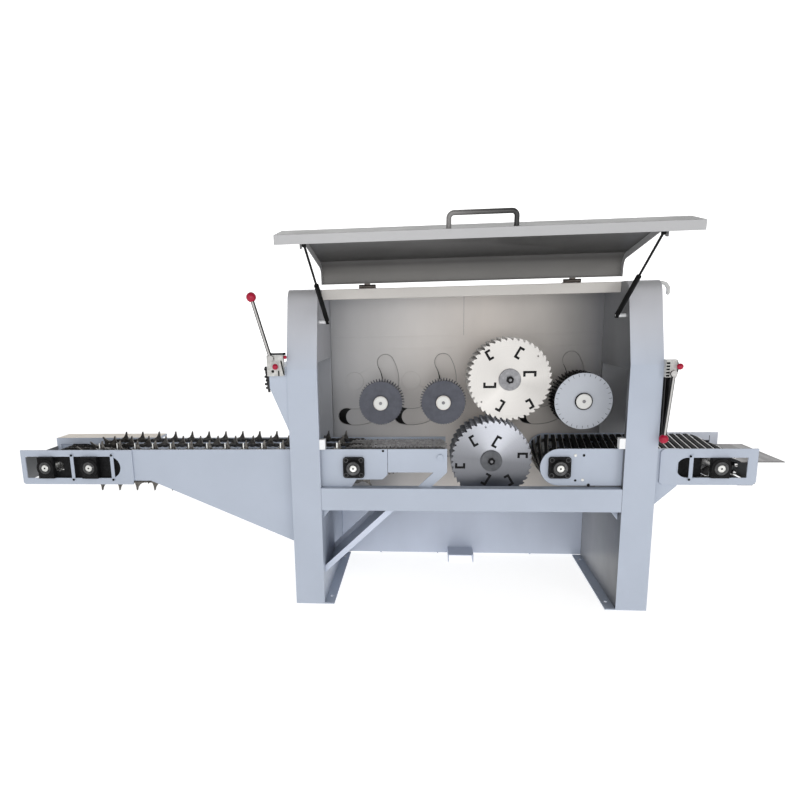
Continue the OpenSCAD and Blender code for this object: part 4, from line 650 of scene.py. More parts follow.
def drawn_in(x, y, z, axis_x, axis_z, chosen, to):
    """Points moved towards a line along Y, to one distance from it, where a test on their distance holds."""
    reach = np.hypot(x - axis_x, z - axis_z)
    scale = np.where(chosen(reach), to / np.maximum(reach, 0.001), 1.0)
    return axis_x + (x - axis_x) * scale, y, axis_z + (z - axis_z) * scale


def small_core(axis_x):
    """A press roller drawn in to 97 mm, so that the toothed discs stand clear of it."""
    return lambda x, y, z: drawn_in(x, y, z, axis_x, ROLLER_AXIS_Z, lambda reach: reach > 0.09, 0.097)


def ribbed_core(x, y, z):
    """The outfeed roller behind its disc drawn in to 122 mm, which leaves room for long teeth."""
    return drawn_in(x, y, z, 0.561, ROLLER_AXIS_Z, lambda reach: (y > ROLLER_DISC_BACK) & (reach > 0.115), 0.122)


def ribless_motor(x, y, z):
    """The motors' barrels drawn in to 156 mm between their end bells, which leaves room for the cooling ribs."""
    barrel = (y > 0.54) & (y < 0.93)
    return drawn_in(x, y, z, np.where(x > 0.145, 0.600, -0.310), 0.330,
                    lambda reach: barrel & (np.abs(reach - 0.170) < 0.001), 0.156)


def small_sprockets(axis_x):
    """Lead sprockets drawn in to 43 mm, so that the lead chains run below the deck."""
    def change(x, y, z):
        lead = np.min(np.abs(y[:, None] * 1000 - np.array(PLAIN_Y)), axis=1) < 8
        return drawn_in(x, y, z, axis_x, SHAFT_AXIS_Z, lambda reach: lead & (reach > 0.045), 0.043)
    return change


def swung_lever(pivot, turn, stretch):
    """A lever's skin turned about its pivot and drawn out from it, to where the picture shows the ball."""
    c, s = math.cos(turn), math.sin(turn)

    def change(x, y, z):
        dx, dz = x - pivot[0], z - pivot[1]
        scale = np.where(np.hypot(dx, dz) > 0.03, stretch, 1.0)
        return pivot[0] + scale * (c * dx + s * dz), y, pivot[1] + scale * (c * dz - s * dx)
    return change


trimmed("guard_curtains", lambda x, y, z: (x, y, np.where((x < 0) & (z < 1.10), 1.101, z)))
trimmed("infeed_tail_plates", lambda x, y, z: (np.where((x > -1.70) & (z > 0.6405), -1.700, x), y, z))
trimmed("outfeed_tail_plates", lambda x, y, z: (np.where((x > 1.28) & (x < 1.30) & (z < 0.66), x + 0.026, x), y,
                                                np.where((x > 1.33) & (z < 0.70), z - 0.026, z)))
trimmed("lid_sheet", narrowed_lid)
trimmed("press_roller_1", small_core(-0.431))
trimmed("press_roller_2", small_core(-0.118))
trimmed("press_roller_3", ribbed_core)
trimmed("main_motors", ribless_motor)
trimmed("hand_lever_left", swung_lever(LEFT_PIVOT, math.radians(1.6), 1.035))
trimmed("hand_lever_right", swung_lever(RIGHT_PIVOT, math.radians(1.4), 1.05))
trimmed("lever_bodies", lambda x, y, z: (np.where(x > 0.93, x - 0.020, x), y, z))
trimmed("infeed_tail_shaft", small_sprockets(-2.166))
trimmed("infeed_idler_shaft", small_sprockets(-1.928))

# %% [markdown]
# New pieces are surfaces of numbers: an outline carried along Y, a profile turned about a line along Y, or
# a round section carried along a path. Each builder returns points in millimetres and faces wound so that
# they look outwards. One shape can be set down many times, which is how chains and slats are made.

# %% Shapes from numbers
MM = 0.001


def prism(outline, y0, y1):
    """A flat outline of (x, z) points carried from y0 to y1: two caps and one side face for each edge."""
    flat = np.asarray(outline, float)
    x, z = flat.T
    if np.sum(x * np.roll(z, -1) - z * np.roll(x, -1)) < 0:
        flat = flat[::-1]
    count = len(flat)
    near = np.column_stack([flat[:, 0], np.full(count, y0), flat[:, 1]])
    i = np.arange(count)
    j = np.roll(i, -1)
    sides = np.column_stack([i, i + count, j + count, j]).tolist()
    return np.vstack([near, near + [0, y1 - y0, 0]]), [i.tolist(), (i[::-1] + count).tolist()] + sides


def bar(low, high):
    """A box between two corners: its front rectangle carried back."""
    (x0, y0, z0), (x1, y1, z1) = low, high
    return prism([(x0, z0), (x1, z0), (x1, z1), (x0, z1)], y0, y1)


def polygon(sides, r, x=0.0, z=0.0, turn=0.0):
    """Corner points of a regular polygon: even angles round a centre at one radius."""
    a = turn + np.arange(sides) * 2 * np.pi / sides
    return np.column_stack([x + r * np.cos(a), z + r * np.sin(a)])


def wrapped(rows, steps, closed=False):
    """Faces between neighbouring rings of equally many points; a closed set also joins the last ring to the first."""
    k, i = np.meshgrid(np.arange(rows if closed else rows - 1), np.arange(steps), indexing="ij")
    k, n = (k * steps).ravel(), ((k + 1) % rows * steps).ravel()
    i, j = i.ravel(), ((i + 1) % steps).ravel()
    return np.column_stack([k + i, n + i, n + j, k + j])


def circled(r, y, x, z, steps):
    """Rings of points about a line along Y through (x, z), one for each radius and depth."""
    a = np.arange(steps) * 2 * np.pi / steps
    return np.stack([x + r[:, None] * np.cos(a), np.repeat(y[:, None], steps, 1), z + r[:, None] * np.sin(a)],
                    -1).reshape(-1, 3)


def turned(profile, x, z, steps=36):
    """A profile of (radius, y) points turned about a line along Y through (x, z); its two ends lie on the line."""
    r, y = np.asarray(profile, float).T
    rings = circled(r[1:-1], y[1:-1], x, z, steps)
    i, j = np.arange(steps), (np.arange(steps) + 1) % steps
    end = (len(r) - 3) * steps
    caps = np.column_stack([np.full(steps, len(rings)), i, j]).tolist()
    caps += np.column_stack([np.full(steps, len(rings) + 1), end + j, end + i]).tolist()
    return np.vstack([rings, [[x, y[0], z], [x, y[-1], z]]]), wrapped(len(r) - 2, steps).tolist() + caps


def ring(profile, x, z, steps=36):
    """A closed profile of (radius, y) points, front to back on the outside, turned about a line along Y."""
    r, y = np.asarray(profile, float).T
    return circled(r, y, x, z, steps), wrapped(len(r), steps, True).tolist()


def tube(path, r, across, steps=14):
    """A round section carried along a flat path: one arm lies across the path's plane, one square to the heading."""
    path, across = np.asarray(path, float), np.asarray(across, float)
    heading = np.gradient(path, axis=0)
    heading /= np.linalg.norm(heading, axis=1)[:, None]
    inward = np.cross(heading, across)
    a = np.arange(steps) * 2 * np.pi / steps
    arms = np.cos(a)[None, :, None] * across + np.sin(a)[None, :, None] * inward[:, None]
    skin = wrapped(len(path), steps)[:, [0, 3, 2, 1]].tolist()
    ends = [list(range(steps))[::-1], list(range((len(path) - 1) * steps, len(path) * steps))]
    return (path[:, None] + r * arms).reshape(-1, 3), skin + ends


def rim(outer, inner, y0, y1):
    """A flat band between two outlines of equally many (x, z) points, carried from y0 to y1."""
    outer, inner = np.asarray(outer, float), np.asarray(inner, float)
    count = len(outer)
    rows = [np.column_stack([line[:, 0], np.full(count, y), line[:, 1]]) for line, y in
            ((outer, y0), (outer, y1), (inner, y1), (inner, y0))]
    return np.vstack(rows), wrapped(4, count, True).tolist()


def ball(r, x, y, z, steps=24):
    """A sphere as a half circle of (radius, y) points turned about a line along Y."""
    a = np.linspace(0, np.pi, 13)
    profile = np.column_stack([r * np.sin(a), y - r * np.cos(a)])
    profile[[0, -1], 0] = 0
    return turned(profile, x, z, steps)


def stamped(shape, x, z, turn, y=0.0):
    """One shape set down at many places: turned in the X-Z plane, then moved."""
    points, faces = shape
    x, z, turn = np.broadcast_arrays(*(np.atleast_1d(np.asarray(v, float)) for v in (x, z, turn)))
    c, s = np.cos(turn)[:, None], np.sin(turn)[:, None]
    px, py, pz = points.T
    out = np.stack([x[:, None] + c * px - s * pz, np.broadcast_to(y + py, (len(x), len(px))),
                    z[:, None] + s * px + c * pz], -1)
    every = [[i + k * len(points) for i in face] for k in range(len(x)) for face in faces]
    return out.reshape(-1, 3), every


def joined(shapes):
    """Several shapes as one set of points and one list of faces."""
    starts = np.cumsum([0] + [len(points) for points, faces in shapes]).tolist()
    every = [[i + start for i in face] for start, (points, faces) in zip(starts, shapes) for face in faces]
    return np.vstack([points for points, faces in shapes]), every


def piece(name, shapes, finish, body, slot, replaces=(), edge=0.0):
    """Shapes joined into one mesh object that rides on a body, with rounded edges if asked for."""
    points, faces = joined(shapes)
    mesh = bpy.data.meshes.new(name)
    mesh.from_pydata((points * MM).tolist(), [], faces)
    print("piece", name, len(mesh.polygons), "faces on", body)
    placed(name, mesh, finish, edge * MM, body, replaces)


# %% [markdown]
# A chain runs round two sprockets like a belt round two discs: two straight lines and two arcs. The lines
# leave the discs at the angle whose cosine is the difference of the radii over the distance. Even stations
# along that path carry the links, alternately narrow and wide, each with a pin and a roller.

# %% Chain paths and links


def loop_spots(a, b, ra, rb, pitch):
    """Even stations along a belt round two discs, as x, z and the turn that brings up to the outward side."""
    a, b = np.array(a, float), np.array(b, float)
    gap = b - a
    lean = np.arctan2(gap[1], gap[0])
    spread = np.arccos((ra - rb) / np.hypot(*gap))
    far = np.linspace(lean + spread, lean - spread, 90)
    near = np.linspace(lean - spread, lean + spread - 2 * np.pi, 90)
    arm = np.concatenate([far, near, [lean + spread - 2 * np.pi]])
    spots = np.vstack([b + rb * np.column_stack([np.cos(far), np.sin(far)]),
                       a + ra * np.column_stack([np.cos(near), np.sin(near)]),
                       b + rb * np.array([np.cos(far[0]), np.sin(far[0])])])
    reach = np.concatenate([[0], np.cumsum(np.hypot(*np.diff(spots, axis=0).T))])
    count = 2 * int(round(reach[-1] / pitch / 2))
    at = np.arange(count) * reach[-1] / count
    x, z, turn = (np.interp(at, reach, line) for line in (*spots.T, arm))
    return x, z, turn - np.pi / 2


def link(pitch, half, y_in, y_out):
    """Two waisted side plates, a pin and a roller for one link of a chain, along X."""
    w, h = pitch / 2, half
    side = [(-w - 0.9 * h, 0), (-w - 0.5 * h, -0.85 * h), (-w + 0.4 * h, -h), (0, -0.7 * h), (w - 0.4 * h, -h),
            (w + 0.5 * h, -0.85 * h), (w + 0.9 * h, 0), (w + 0.5 * h, 0.85 * h), (w - 0.4 * h, h), (0, 0.7 * h),
            (-w + 0.4 * h, h), (-w - 0.5 * h, 0.85 * h)]
    shapes = [prism(side, y_in, y_out), prism(side, -y_out, -y_in), prism(polygon(6, 0.42 * h, -w), -5.1, 5.1),
              prism(polygon(8, 0.75 * h, -w), -1.5, 1.5)]
    return joined(shapes)


def chain(a, b, ra, rb, pitch, ys, half):
    """Loops of alternate wide and narrow links round two sprockets, one at each Y."""
    x, z, turn = loop_spots(a, b, ra, rb, pitch)
    wide, narrow = link(pitch, half, 3.4, 4.9), link(pitch, half, 1.6, 3.2)
    return [stamped(shape, x[k::2], z[k::2], turn[k::2], y) for y in ys for k, shape in enumerate((wide, narrow))]


# %% [markdown]
# The infeed has three spiked chains between the second shaft and the drive shaft, and four plain lead
# chains from the tail. A spike is a fin with one upright edge. Its foot clamps the chain, and the front row
# carries a bright bracket shaped like an upside-down T.

# %% Infeed chains
SHAFT_Z = 712.5
TAIL, IDLER, DRIVE, NOSE = (-2166, SHAFT_Z), (-1928, SHAFT_Z), (-560, SHAFT_Z), (-135, 762.0)
OUT_DRIVE, OUT_TAIL = (434, SHAFT_Z), (1164, SHAFT_Z)
SPIKED_Y = (-318.0, -174.5, -31.0)
SPIKE_PITCH, SPIKE_START, SPIKES = 95.25, 45.0, 14
LINK_SLOT = ("machine", "chain_steel", ["infeed_chain"])

fin = prism([(-27, 86), (25, 86), (21, 95), (17.4, 108), (15.4, 130), (13.2, 132), (9.6, 130), (5, 114), (-4, 101),
             (-16, 93)], -3.4, 3.4)
fin_foot = bar((-25, -8, 82), (25, 8, 90.5))
bracket_foot = bar((-16, -11, 86), (16, -8.4, 90.5))
bracket_post = bar((-2.8, -10.6, 90), (2.8, -8.8, 120))
run_x = IDLER[0] + SPIKE_START + SPIKE_PITCH * np.arange(SPIKES)
end_turn = np.radians([-45.0, 0.0, 45.0])
spike_x = np.concatenate([run_x, run_x, np.full(3, IDLER[0]), np.full(3, DRIVE[0])])
spike_turn = np.concatenate([np.zeros(SPIKES), np.full(SPIKES, np.pi), np.pi / 2 + end_turn, end_turn - np.pi / 2])
spikes = [stamped(shape, spike_x, SHAFT_Z, spike_turn, y) for y in SPIKED_Y for shape in (fin, fin_foot)]
brackets = [stamped(shape, run_x, SHAFT_Z, np.zeros(SPIKES), SPIKED_Y[0]) for shape in (bracket_foot, bracket_post)]
loops = chain(IDLER, DRIVE, 80, 80, 31.75, SPIKED_Y, 9.6) + chain(TAIL, IDLER, 54, 54, 25.4, PLAIN_Y, 9.6)
piece("infeed_links", loops, chain_steel, *LINK_SLOT)
piece("infeed_spikes", spikes, spike_steel, *LINK_SLOT)
piece("spike_brackets", brackets, bright_zinc, *LINK_SLOT)

# %% [markdown]
# Between infeed and blades lies a low toothed chain, which carries the board to the cut. Its path shrinks
# towards the nose shaft, so the two discs have different radii. Every link has a small tooth.

# %% Transition chain
BED_SLOT = ("machine", "chain_steel", ["transition_chain"])
BED_LOOP = (DRIVE, NOSE, 80, 32, 19.05)
bed_x, bed_z, bed_turn = loop_spots(*BED_LOOP)
tooth = prism([(-4.5, 4.5), (4.5, 4.5), (1.0, 10.6), (-1.0, 10.6)], -4.6, 4.6)
# The rear rows are the same chain as the front row, painted lighter: painted light.
for name, rows, finish in (("front", PLAIN_Y[:1], bed_steel), ("rear", PLAIN_Y[1:], bed_rear_painted_light)):
    piece(f"transition_{name}_links", chain(*BED_LOOP, rows, 5.8), finish, *BED_SLOT)
    piece(f"transition_{name}_teeth", [stamped(tooth, bed_x, bed_z, bed_turn, y) for y in rows], finish, *BED_SLOT)

# %% [markdown]
# The outfeed carries slats on two chains. Each slat is a flat dark strip with a bright edge on one side,
# partly wear and partly a painted highlight. The slats lie askew: the rear end runs ahead of the front end,
# so a slat is a strip between two stations of the same path, and twists a little where the chain turns.

# %% Outfeed slats
SLATS, LEAD = 56, 62
OUT_LOOP = (OUT_DRIVE, OUT_TAIL, 71.5, 71.5)
SLAT_SLOT = ("machine", "chain_steel", ["outfeed_chain"])


def askew(section, y0, y1, lead, parts=7):
    """A closed (along, out) section carried across the chain from y0 to y1, ahead by lead along the path at its end."""
    x, z, turn = loop_spots(*OUT_LOOP, 1.0)
    count = len(x)
    stations = np.arange(SLATS) * count / SLATS
    across = np.linspace(0, 1, parts)
    along, out = np.asarray(section, float).T
    at = (stations[:, None] + lead * across[None]) % count
    low = at.astype(int)
    c, s = np.cos(turn[low])[..., None], np.sin(turn[low])[..., None]
    px = x[low][..., None] + c * along - s * out
    pz = z[low][..., None] + s * along + c * out
    py = np.broadcast_to((y0 + (y1 - y0) * across)[None, :, None], px.shape)
    points = np.stack([px, py, pz], -1).reshape(-1, 3)
    n = len(section)
    starts = np.arange(SLATS)[:, None] * parts * n
    skin = (wrapped(parts, n)[None] + starts[:, :, None]).reshape(-1, 4).tolist()
    ends = [(starts + spots).tolist() for spots in (np.arange(n), (parts - 1) * n + np.arange(n)[::-1])]
    return points, skin + ends[0] + ends[1]


strip = [(-11, 8), (9, 8), (9, 14), (-11, 14)]
fore_edge = [(8.6, 7.4), (11.4, 7.4), (11.4, 16.2), (8.6, 16.2)]
end_tab = [(-5, 3), (5, 3), (1.5, 16), (-1.5, 16)]
piece("outfeed_slats", [askew(strip, -334, 80, LEAD)], slat_steel, *SLAT_SLOT)
piece("slat_edges", [askew(fore_edge, -335, 81, LEAD), askew(end_tab, -339, -335.4, 0, 2)], wear_and_highlight_steel, *SLAT_SLOT)
piece("slat_links", chain(*OUT_LOOP, 31.75, (-252.0, -3.0), 7.2), chain_steel, *SLAT_SLOT)

# %% [markdown]
# A bearing unit shows more than a black square: a steel insert, washers under the bolts, and a bright
# shaft end with the lathe's centre hole in it, covered by a black disc of painted shade. The sliding blocks
# at the tails carry the same insert.

# %% Bearing inserts and shaft ends
FRONT_BEARINGS = ((-560.0, "infeed_drive"), (434.0, "outfeed_drive"))
TAIL_BEARINGS = ((-1928.0, "machine", "infeed_idler"), (-2166.0, "infeed_takeup", "infeed_tail"),
                 (1164.0, "outfeed_takeup", "outfeed_tail"))
INSERT = np.array([(33, -3), (34, -0.5), (34, 1), (21, 1), (21, -2), (24, -3)], float)
SHAFT_END = np.array([(0, 2), (4.5, -3.6), (15.5, -4), (17.4, -2.4), (17.4, 3), (0, 3)], float)
CENTRE = np.array([(0, -4.5), (4.2, -4.5), (4.2, -3), (0, -3)], float)
BOSS = [(40, -381), (45, -379), (46, -373), (19.2, -373), (19.2, -377.5), (33, -377.5), (33, -381)]
BOLT_HALF = 37.8
IRON, ZINC = (black_iron, "machine", "black_iron"), (bright_zinc, "machine", "shaft_steel")


def band(outer, inner, y0, y1, x, z, steps):
    """A plain ring between two radii and two depths."""
    return ring([(outer, y0), (outer, y1), (inner, y1), (inner, y0)], x, z, steps)


def shaft_face(name, rotor, x, y):
    """The bright end of a shaft with a black disc of painted shade over its centre hole, at one depth."""
    piece(name + "_shaft_end", [turned(SHAFT_END + [0, y], x, SHAFT_Z)], bright_zinc, rotor, "shaft_steel")
    piece(name + "_centre", [turned(CENTRE + [0, y], x, SHAFT_Z, 14)], black_iron, rotor, "black_iron")


for x, rotor in FRONT_BEARINGS:
    corners = [(x + a * BOLT_HALF, SHAFT_Z + b * BOLT_HALF) for a in (-1, 1) for b in (-1, 1)]
    washers = [band(11.5, 8.6, -366, -364, *corner, 18) for corner in corners]
    piece(rotor + "_bearing_insert", [ring(INSERT + [0, -384], x, SHAFT_Z)] + washers, insert_steel, *IRON[1:])
    shaft_face(rotor + "_bearing", rotor, x, -384)
for x, block, rotor in TAIL_BEARINGS:
    insert = INSERT * [0.94, 1] + [0, -377.5]
    piece(rotor + "_boss", [ring(BOSS, x, SHAFT_Z, 44)], black_iron, block, "black_iron")
    piece(rotor + "_insert", [ring(insert, x, SHAFT_Z)], insert_steel, block, "black_iron")
    shaft_face(rotor, rotor, x, -378.5)

# %% [markdown]
# Press rollers have a white hub cap on a dark ring, and the outfeed roller's disc is scored with short
# radial marks near its rim. The arbours end in a dark hexagon inside the clamp flange.

# %% Hubs, scores and arbour nuts
ROLLERS = ((-431.0, "press_arm_1", 34.0), (-118.0, "press_arm_2", 34.0), (561.0, "press_arm_3", 38.0))
ROLLER_Z, SCORES = 1013.82, 30
ARBOURS = ((202.0, 1125.96, "upper_arbor"), (121.0, 722.0, "lower_arbor"))
SCREW = [(0, -234.4), (3, -235.6), (6.6, -235.8), (8, -234.5), (8, -232.5), (0, -232.5)]
NUT_END = [(0, -268), (6, -268.6), (7.5, -267.6), (7.5, -266), (0, -266)]
for x, arm, r in ROLLERS:
    cap = [(0, -233), (r - 3, -233), (r - 0.6, -230.5), (r - 0.6, -223), (0, -223)]
    lip = [(r + 3.6, -229.5), (r + 4, -228.5), (r + 4, -221), (r, -221), (r, -229.5)]
    piece(arm + "_hub_cap", [turned(cap, x, ROLLER_Z, 40)], hub_white, arm, "white_parts")
    piece(arm + "_hub_ring", [ring(lip, x, ROLLER_Z, 40)], black_iron, arm, "black_iron")
    piece(arm + "_hub_screw", [turned(SCREW, x, ROLLER_Z, 20)], dull_steel, arm, "shaft_steel")
score = bar((-0.9, -220.5, 121), (0.9, -219.8, 133.5))
scores = stamped(score, ROLLERS[2][0], ROLLER_Z, np.arange(SCORES) * 2 * np.pi / SCORES)
piece("roller_scores", [scores], black_iron, "press_roller_3", "black_iron")
for x, z, arbour in ARBOURS:
    nut = prism(polygon(6, 18.6, x, z, 0.3), -267, -254.2)
    piece(arbour + "_nut", [nut], black_iron, arbour, "shaft_steel", edge=1.2)
    piece(arbour + "_nut_end", [turned(NUT_END, x, z, 18)], dull_steel, arbour, "shaft_steel")

# %% [markdown]
# Two finer things sit on the turning parts. The press rollers carry toothed discs on a lighter steel core,
# whose tone is painted light, and the expansion slots of the front blades are covered in black as painted
# shade, each slot a bar with two short legs.

# %% Toothed discs and painted slot shade
BLADE_R, SLOT_W, FILL_GAP = 202.5, 9, -1.3
SLOT_SPANS = ((0.32, 0.62), (0.51, 0.79), (0.64, 0.88))


def toothed(x, count, reach):
    """Outline of a disc with hooked teeth: four spots a tooth, at the given reaches from the middle."""
    turn = (np.arange(count)[:, None] + np.array([0.0, 0.42, 0.62, 0.84])) * 2 * np.pi / count
    reach = np.broadcast_to(np.array(reach), turn.shape)
    return np.column_stack([(x + reach * np.cos(turn)).ravel(), (ROLLER_Z + reach * np.sin(turn)).ravel()])


def slot_shade(x, z, turn):
    """Black painted shade over one blade's six slots: three spans of the radius, twice round, a little wider than the
    slots.
    """
    shapes = []
    for k, (start, stop) in enumerate(SLOT_SPANS):
        side, low, high = 0.15 * BLADE_R, start * BLADE_R, stop * BLADE_R
        foot, step, back = side - 0.08 * BLADE_R + FILL_GAP, side + FILL_GAP, side + SLOT_W - FILL_GAP
        ends = (low + FILL_GAP, low + SLOT_W - FILL_GAP, high - SLOT_W + FILL_GAP, high - FILL_GAP)
        u = [(ends[0], foot), (ends[1], foot), (ends[1], step), (ends[2], step),
             (ends[2], foot), (ends[3], foot), (ends[3], back), (ends[0], back)]
        shapes.append(stamped(prism(u, -240.4, -236.4), x, z, turn + np.radians([k * 60, k * 60 + 180])))
    return shapes


for x, arm, r in ROLLERS[:2]:
    roller = arm.replace("arm", "roller")
    discs = [prism(toothed(x, 54, (107.0, 107.5, 109.8, 109.5)), -221.2, -213),
             prism(toothed(x, 48, (100.5, 101.0, 117.0, 116.0)), -146, -138)]
    piece(roller + "_discs", discs, tool_steel, roller, "roller_steel")
long_disc = toothed(ROLLERS[2][0], 46, (120.0, 120.5, 140.0, 139.0))
long_teeth = [prism(long_disc, y, y + 32) for y in (-210.5, -164, -117, -70)]
piece("press_roller_3_teeth", long_teeth, black_iron, "press_roller_3", "roller_steel")
for (x, z, arbour), turn in zip(ARBOURS, (0.0, np.radians(60))):
    piece(arbour.replace("arbor", "slot_shade"), slot_shade(x, z, turn), black_iron, arbour, "blade_steel")

# %% [markdown]
# Each roller arm swings in a curved slot of the rear wall. A plate on the arm covers the slot, and its
# round end leaves a dark crescent. A thin dark line along the slot's edge, where the plate lies deeper, and a
# tapering dark arc along the slot's inner edge are painted shade.

# %% Slot edges and cover ends
PIVOTS = ((-598.667, "press_arm_1"), (-285.667, "press_arm_2"), (393.333, "press_arm_3"))
PIVOT_Z, ARM_REACH, COVER_LEAN = 1092.0, 200.0, math.radians(-92)


def spokes(angles):
    """Unit steps in the X-Z plane at the given angles."""
    return np.column_stack([np.cos(angles), np.sin(angles)])


def slot_line(x, half, r=ARM_REACH, low=-104.0, high=30.0):
    """Outline of a curved slot: an outer arc, a half circle, an inner arc back and a half circle."""
    a, b = np.radians([low, high])
    turn = np.linspace(0, np.pi, 14)[1:-1]
    span = np.linspace(a, b, 40)
    top = r * spokes(b) + half * spokes(b + turn)
    foot = r * spokes(a) + half * spokes(a + np.pi + turn)
    return np.vstack([spokes(span) * (r + half), top, spokes(span[::-1]) * (r - half), foot]) + [x, PIVOT_Z]


# Painted shade: a thin dark band inside each slot's outline, where the cover plate lies deeper.
edges = [rim(slot_line(x, 46.9), slot_line(x, 44.6), 130.4, 135.6) for x, arm in PIVOTS]
piece("slot_edge_shadows", edges, dark_seam_and_slot_shade, "machine", "bare_sheet")
# Painted shade: a tapering dark arc along each slot's inner edge.
shade_turn = np.radians(np.linspace(3, 30, 12))
shade_out = np.linspace(158.0, 154.0, 12)[:, None] * spokes(shade_turn)
shade = np.vstack([shade_out, 152.2 * spokes(shade_turn)[::-1]])
gap_shadows = [prism(shade + [x, PIVOT_Z], 129.5, 130.3) for x, arm in PIVOTS]
piece("slot_gap_shadows", gap_shadows, black_iron, "machine", "bare_sheet")
for x, arm in PIVOTS:
    end = (x + ARM_REACH * math.cos(COVER_LEAN), PIVOT_Z + ARM_REACH * math.sin(COVER_LEAN))
    piece(arm + "_cover_end", [prism(polygon(48, 46.5, *end), 138.2, 141.8)], wall_painted_light, arm, "bare_sheet")

# %% [markdown]
# The rear wall has a wide shallow fold above the blades, a seam, and round covers over the arm pivots. The
# outfeed plate has threaded holes and screw heads, and the infeed's rear shelf has a pale top. Plates
# behind the windows close the view through the conveyors; their dark grey is painted shade.

# %% Wall, plate and shelf details
HOLES = ((546, 771, 6.5), (511, 648, 6.0), (573, 625, 8.0), (-414, 794, 6.0))
SCREWS = ((507, 771, 7.5), (545, 650, 7.5))
COVER = [(0, 128.8), (44, 128.8), (46, 130.2), (0, 130.2)]
PAINTED = (body_paint, "machine", "body_paint")
wall_parts = [bar((-716, 128.6, 1268), (716, 130.2, 1332))]
wall_parts += [turned(COVER, x, 1092, 40) for x in (-598.67, -285.67, 393.33)]
piece("wall_fold", wall_parts, wall_painted_light, "machine", "bare_sheet", edge=0.7)
piece("wall_seam", [bar((-4.2, 129.5, 1332), (-2.4, 130.2, 1560))], dark_seam_and_slot_shade, "machine", "bare_sheet")
# The threaded holes are black discs on the plate: painted shade inside the holes.
holes = [turned([(0, -350.5), (r, -350.5), (r, -349.8), (0, -349.8)], x, z, 20) for x, z, r in HOLES]
piece("plate_holes", holes, *IRON)
heads = [turned([(0, -351.6), (r - 1.5, -351.6), (r, -350.6), (r, -349.8), (0, -349.8)], x, z, 20)
         for x, z, r in SCREWS]
piece("plate_screws", heads, *ZINC)
piece("shelf_top", [bar((-2304, 9, 802.6), (-1706, 136, 803.8))], shelf_beige, *PAINTED[1:], edge=0.4)
end_plates = [bar((-2305.5, -349.5, 634), (-2301, -1.5, 758)), bar((1326, -349.5, 632), (1330.5, 94.5, 735))]
piece("tail_end_plates", end_plates, end_painted_shade, *PAINTED[1:], edge=0.8)

# %% [markdown]
# The last flat pieces are black plates in and behind the conveyors, which are painted shade, a cover, the
# strips between the bed's chains and the bolts of the straps.

# %% Shade plates, covers and bolts of the conveyors
BED_GAPS = ((-341, -291), (-274, -219), (-202, -147), (-130, -76), (-58, -10))


def hex_heads(spots, r, y0, y1):
    """Hexagon bolt heads at the given (x, z) spots, with their axes along Y."""
    return [prism(polygon(6, r, x, z), y0, y1) for x, z in spots]


# Black plates in the conveyors' windows and under the slats: painted shade of the conveyors' insides.
shade_plates = [bar((-2206, -340, 640), (-1726, -336.5, 688)), bar((-2206, -340, 738), (-1726, -336.5, 786)),
          bar((-2084, -340, 688), (-1952, -336.5, 738)), bar((-1900, -340, 688), (-1726, -336.5, 738)),
          bar((700, -314, 660), (1098, -310, 764)), bar((510, -328, 766), (1050, 78, 769)),
          bar((1256, -341, 623.4), (1325, 86, 626.6))]
piece("window_shade_plates", shade_plates, *IRON, edge=0.8)
piece("rear_cover", [bar((-2302, 29, 644), (-1708, 32, 791.4))], *PAINTED, edge=0.8)
# A black box behind the outfeed's rear window: painted shade.
rear_shade_box = [bar((1008, 124, 640), (1290, 127, 786)), bar((1008, 94.6, 640), (1011, 124.4, 786)),
         bar((1287, 94.6, 640), (1290, 124.4, 786))]
piece("outfeed_rear_shade_box", rear_shade_box, *IRON, edge=0.6)
strips = [bar((-480, y0, 786), (-170, y1, 791)) for y0, y1 in BED_GAPS]
piece("bed_strips", strips, bed_grey, *PAINTED[1:], edge=0.6)
straps = hex_heads([(x, SHAFT_Z + s * 64) for x in (-2024.0, -1808.0) for s in (-1, 1)], 6.5, -367, -362.6)
straps += hex_heads([(1028.0, SHAFT_Z + s * 56) for s in (-1, 1)], 6.0, -367, -362.6)
piece("strap_bolts", straps, *IRON, edge=0.8)

# %% [markdown]
# The lid's handle is bent from one bar with round corners. The lid is drawn open, so points given on the
# closed lid are first turned about the hinge line.

# %% Handle and spring studs
HINGE_Y, HINGE_Z, LID_OPEN = -168.0, 1588.0, math.radians(83)
BAND_RUN, BAND_FALL = 14, 156


def on_open_lid(points):
    """Points of the closed lid turned open about the hinge line along X."""
    x, y, z = (np.asarray(points, float) - [0, HINGE_Y, HINGE_Z]).T
    c, s = math.cos(LID_OPEN), math.sin(LID_OPEN)
    return np.column_stack([x, HINGE_Y + y * c + z * s, HINGE_Z - y * s + z * c])


def bent_bar(half, height, bend, steps=8):
    """A U of two legs and a bridge, with a quarter circle at each corner, as (x, height) points."""
    a = np.linspace(0, np.pi / 2, steps)
    corner = np.column_stack([-half + bend - bend * np.cos(a), height - bend + bend * np.sin(a)])
    return np.vstack([[(-half, -0.5)], corner, corner[::-1] * [-1, 1], [(half, -0.5)]])


foot = np.array([-427 - BAND_RUN * 0.18, 741 + BAND_FALL * 0.18])
tilt = math.atan2(BAND_RUN, BAND_FALL)
u_points = bent_bar(120, 51, 18)
handle_path = on_open_lid(np.column_stack([u_points[:, 0], foot[0] - u_points[:, 1] * math.cos(tilt),
                                           foot[1] - u_points[:, 1] * math.sin(tilt)]))
plane = np.cross(handle_path[0] - handle_path[1], handle_path[-1] - handle_path[0])
handle = tube(handle_path, 9.2, plane / np.linalg.norm(plane), 16)
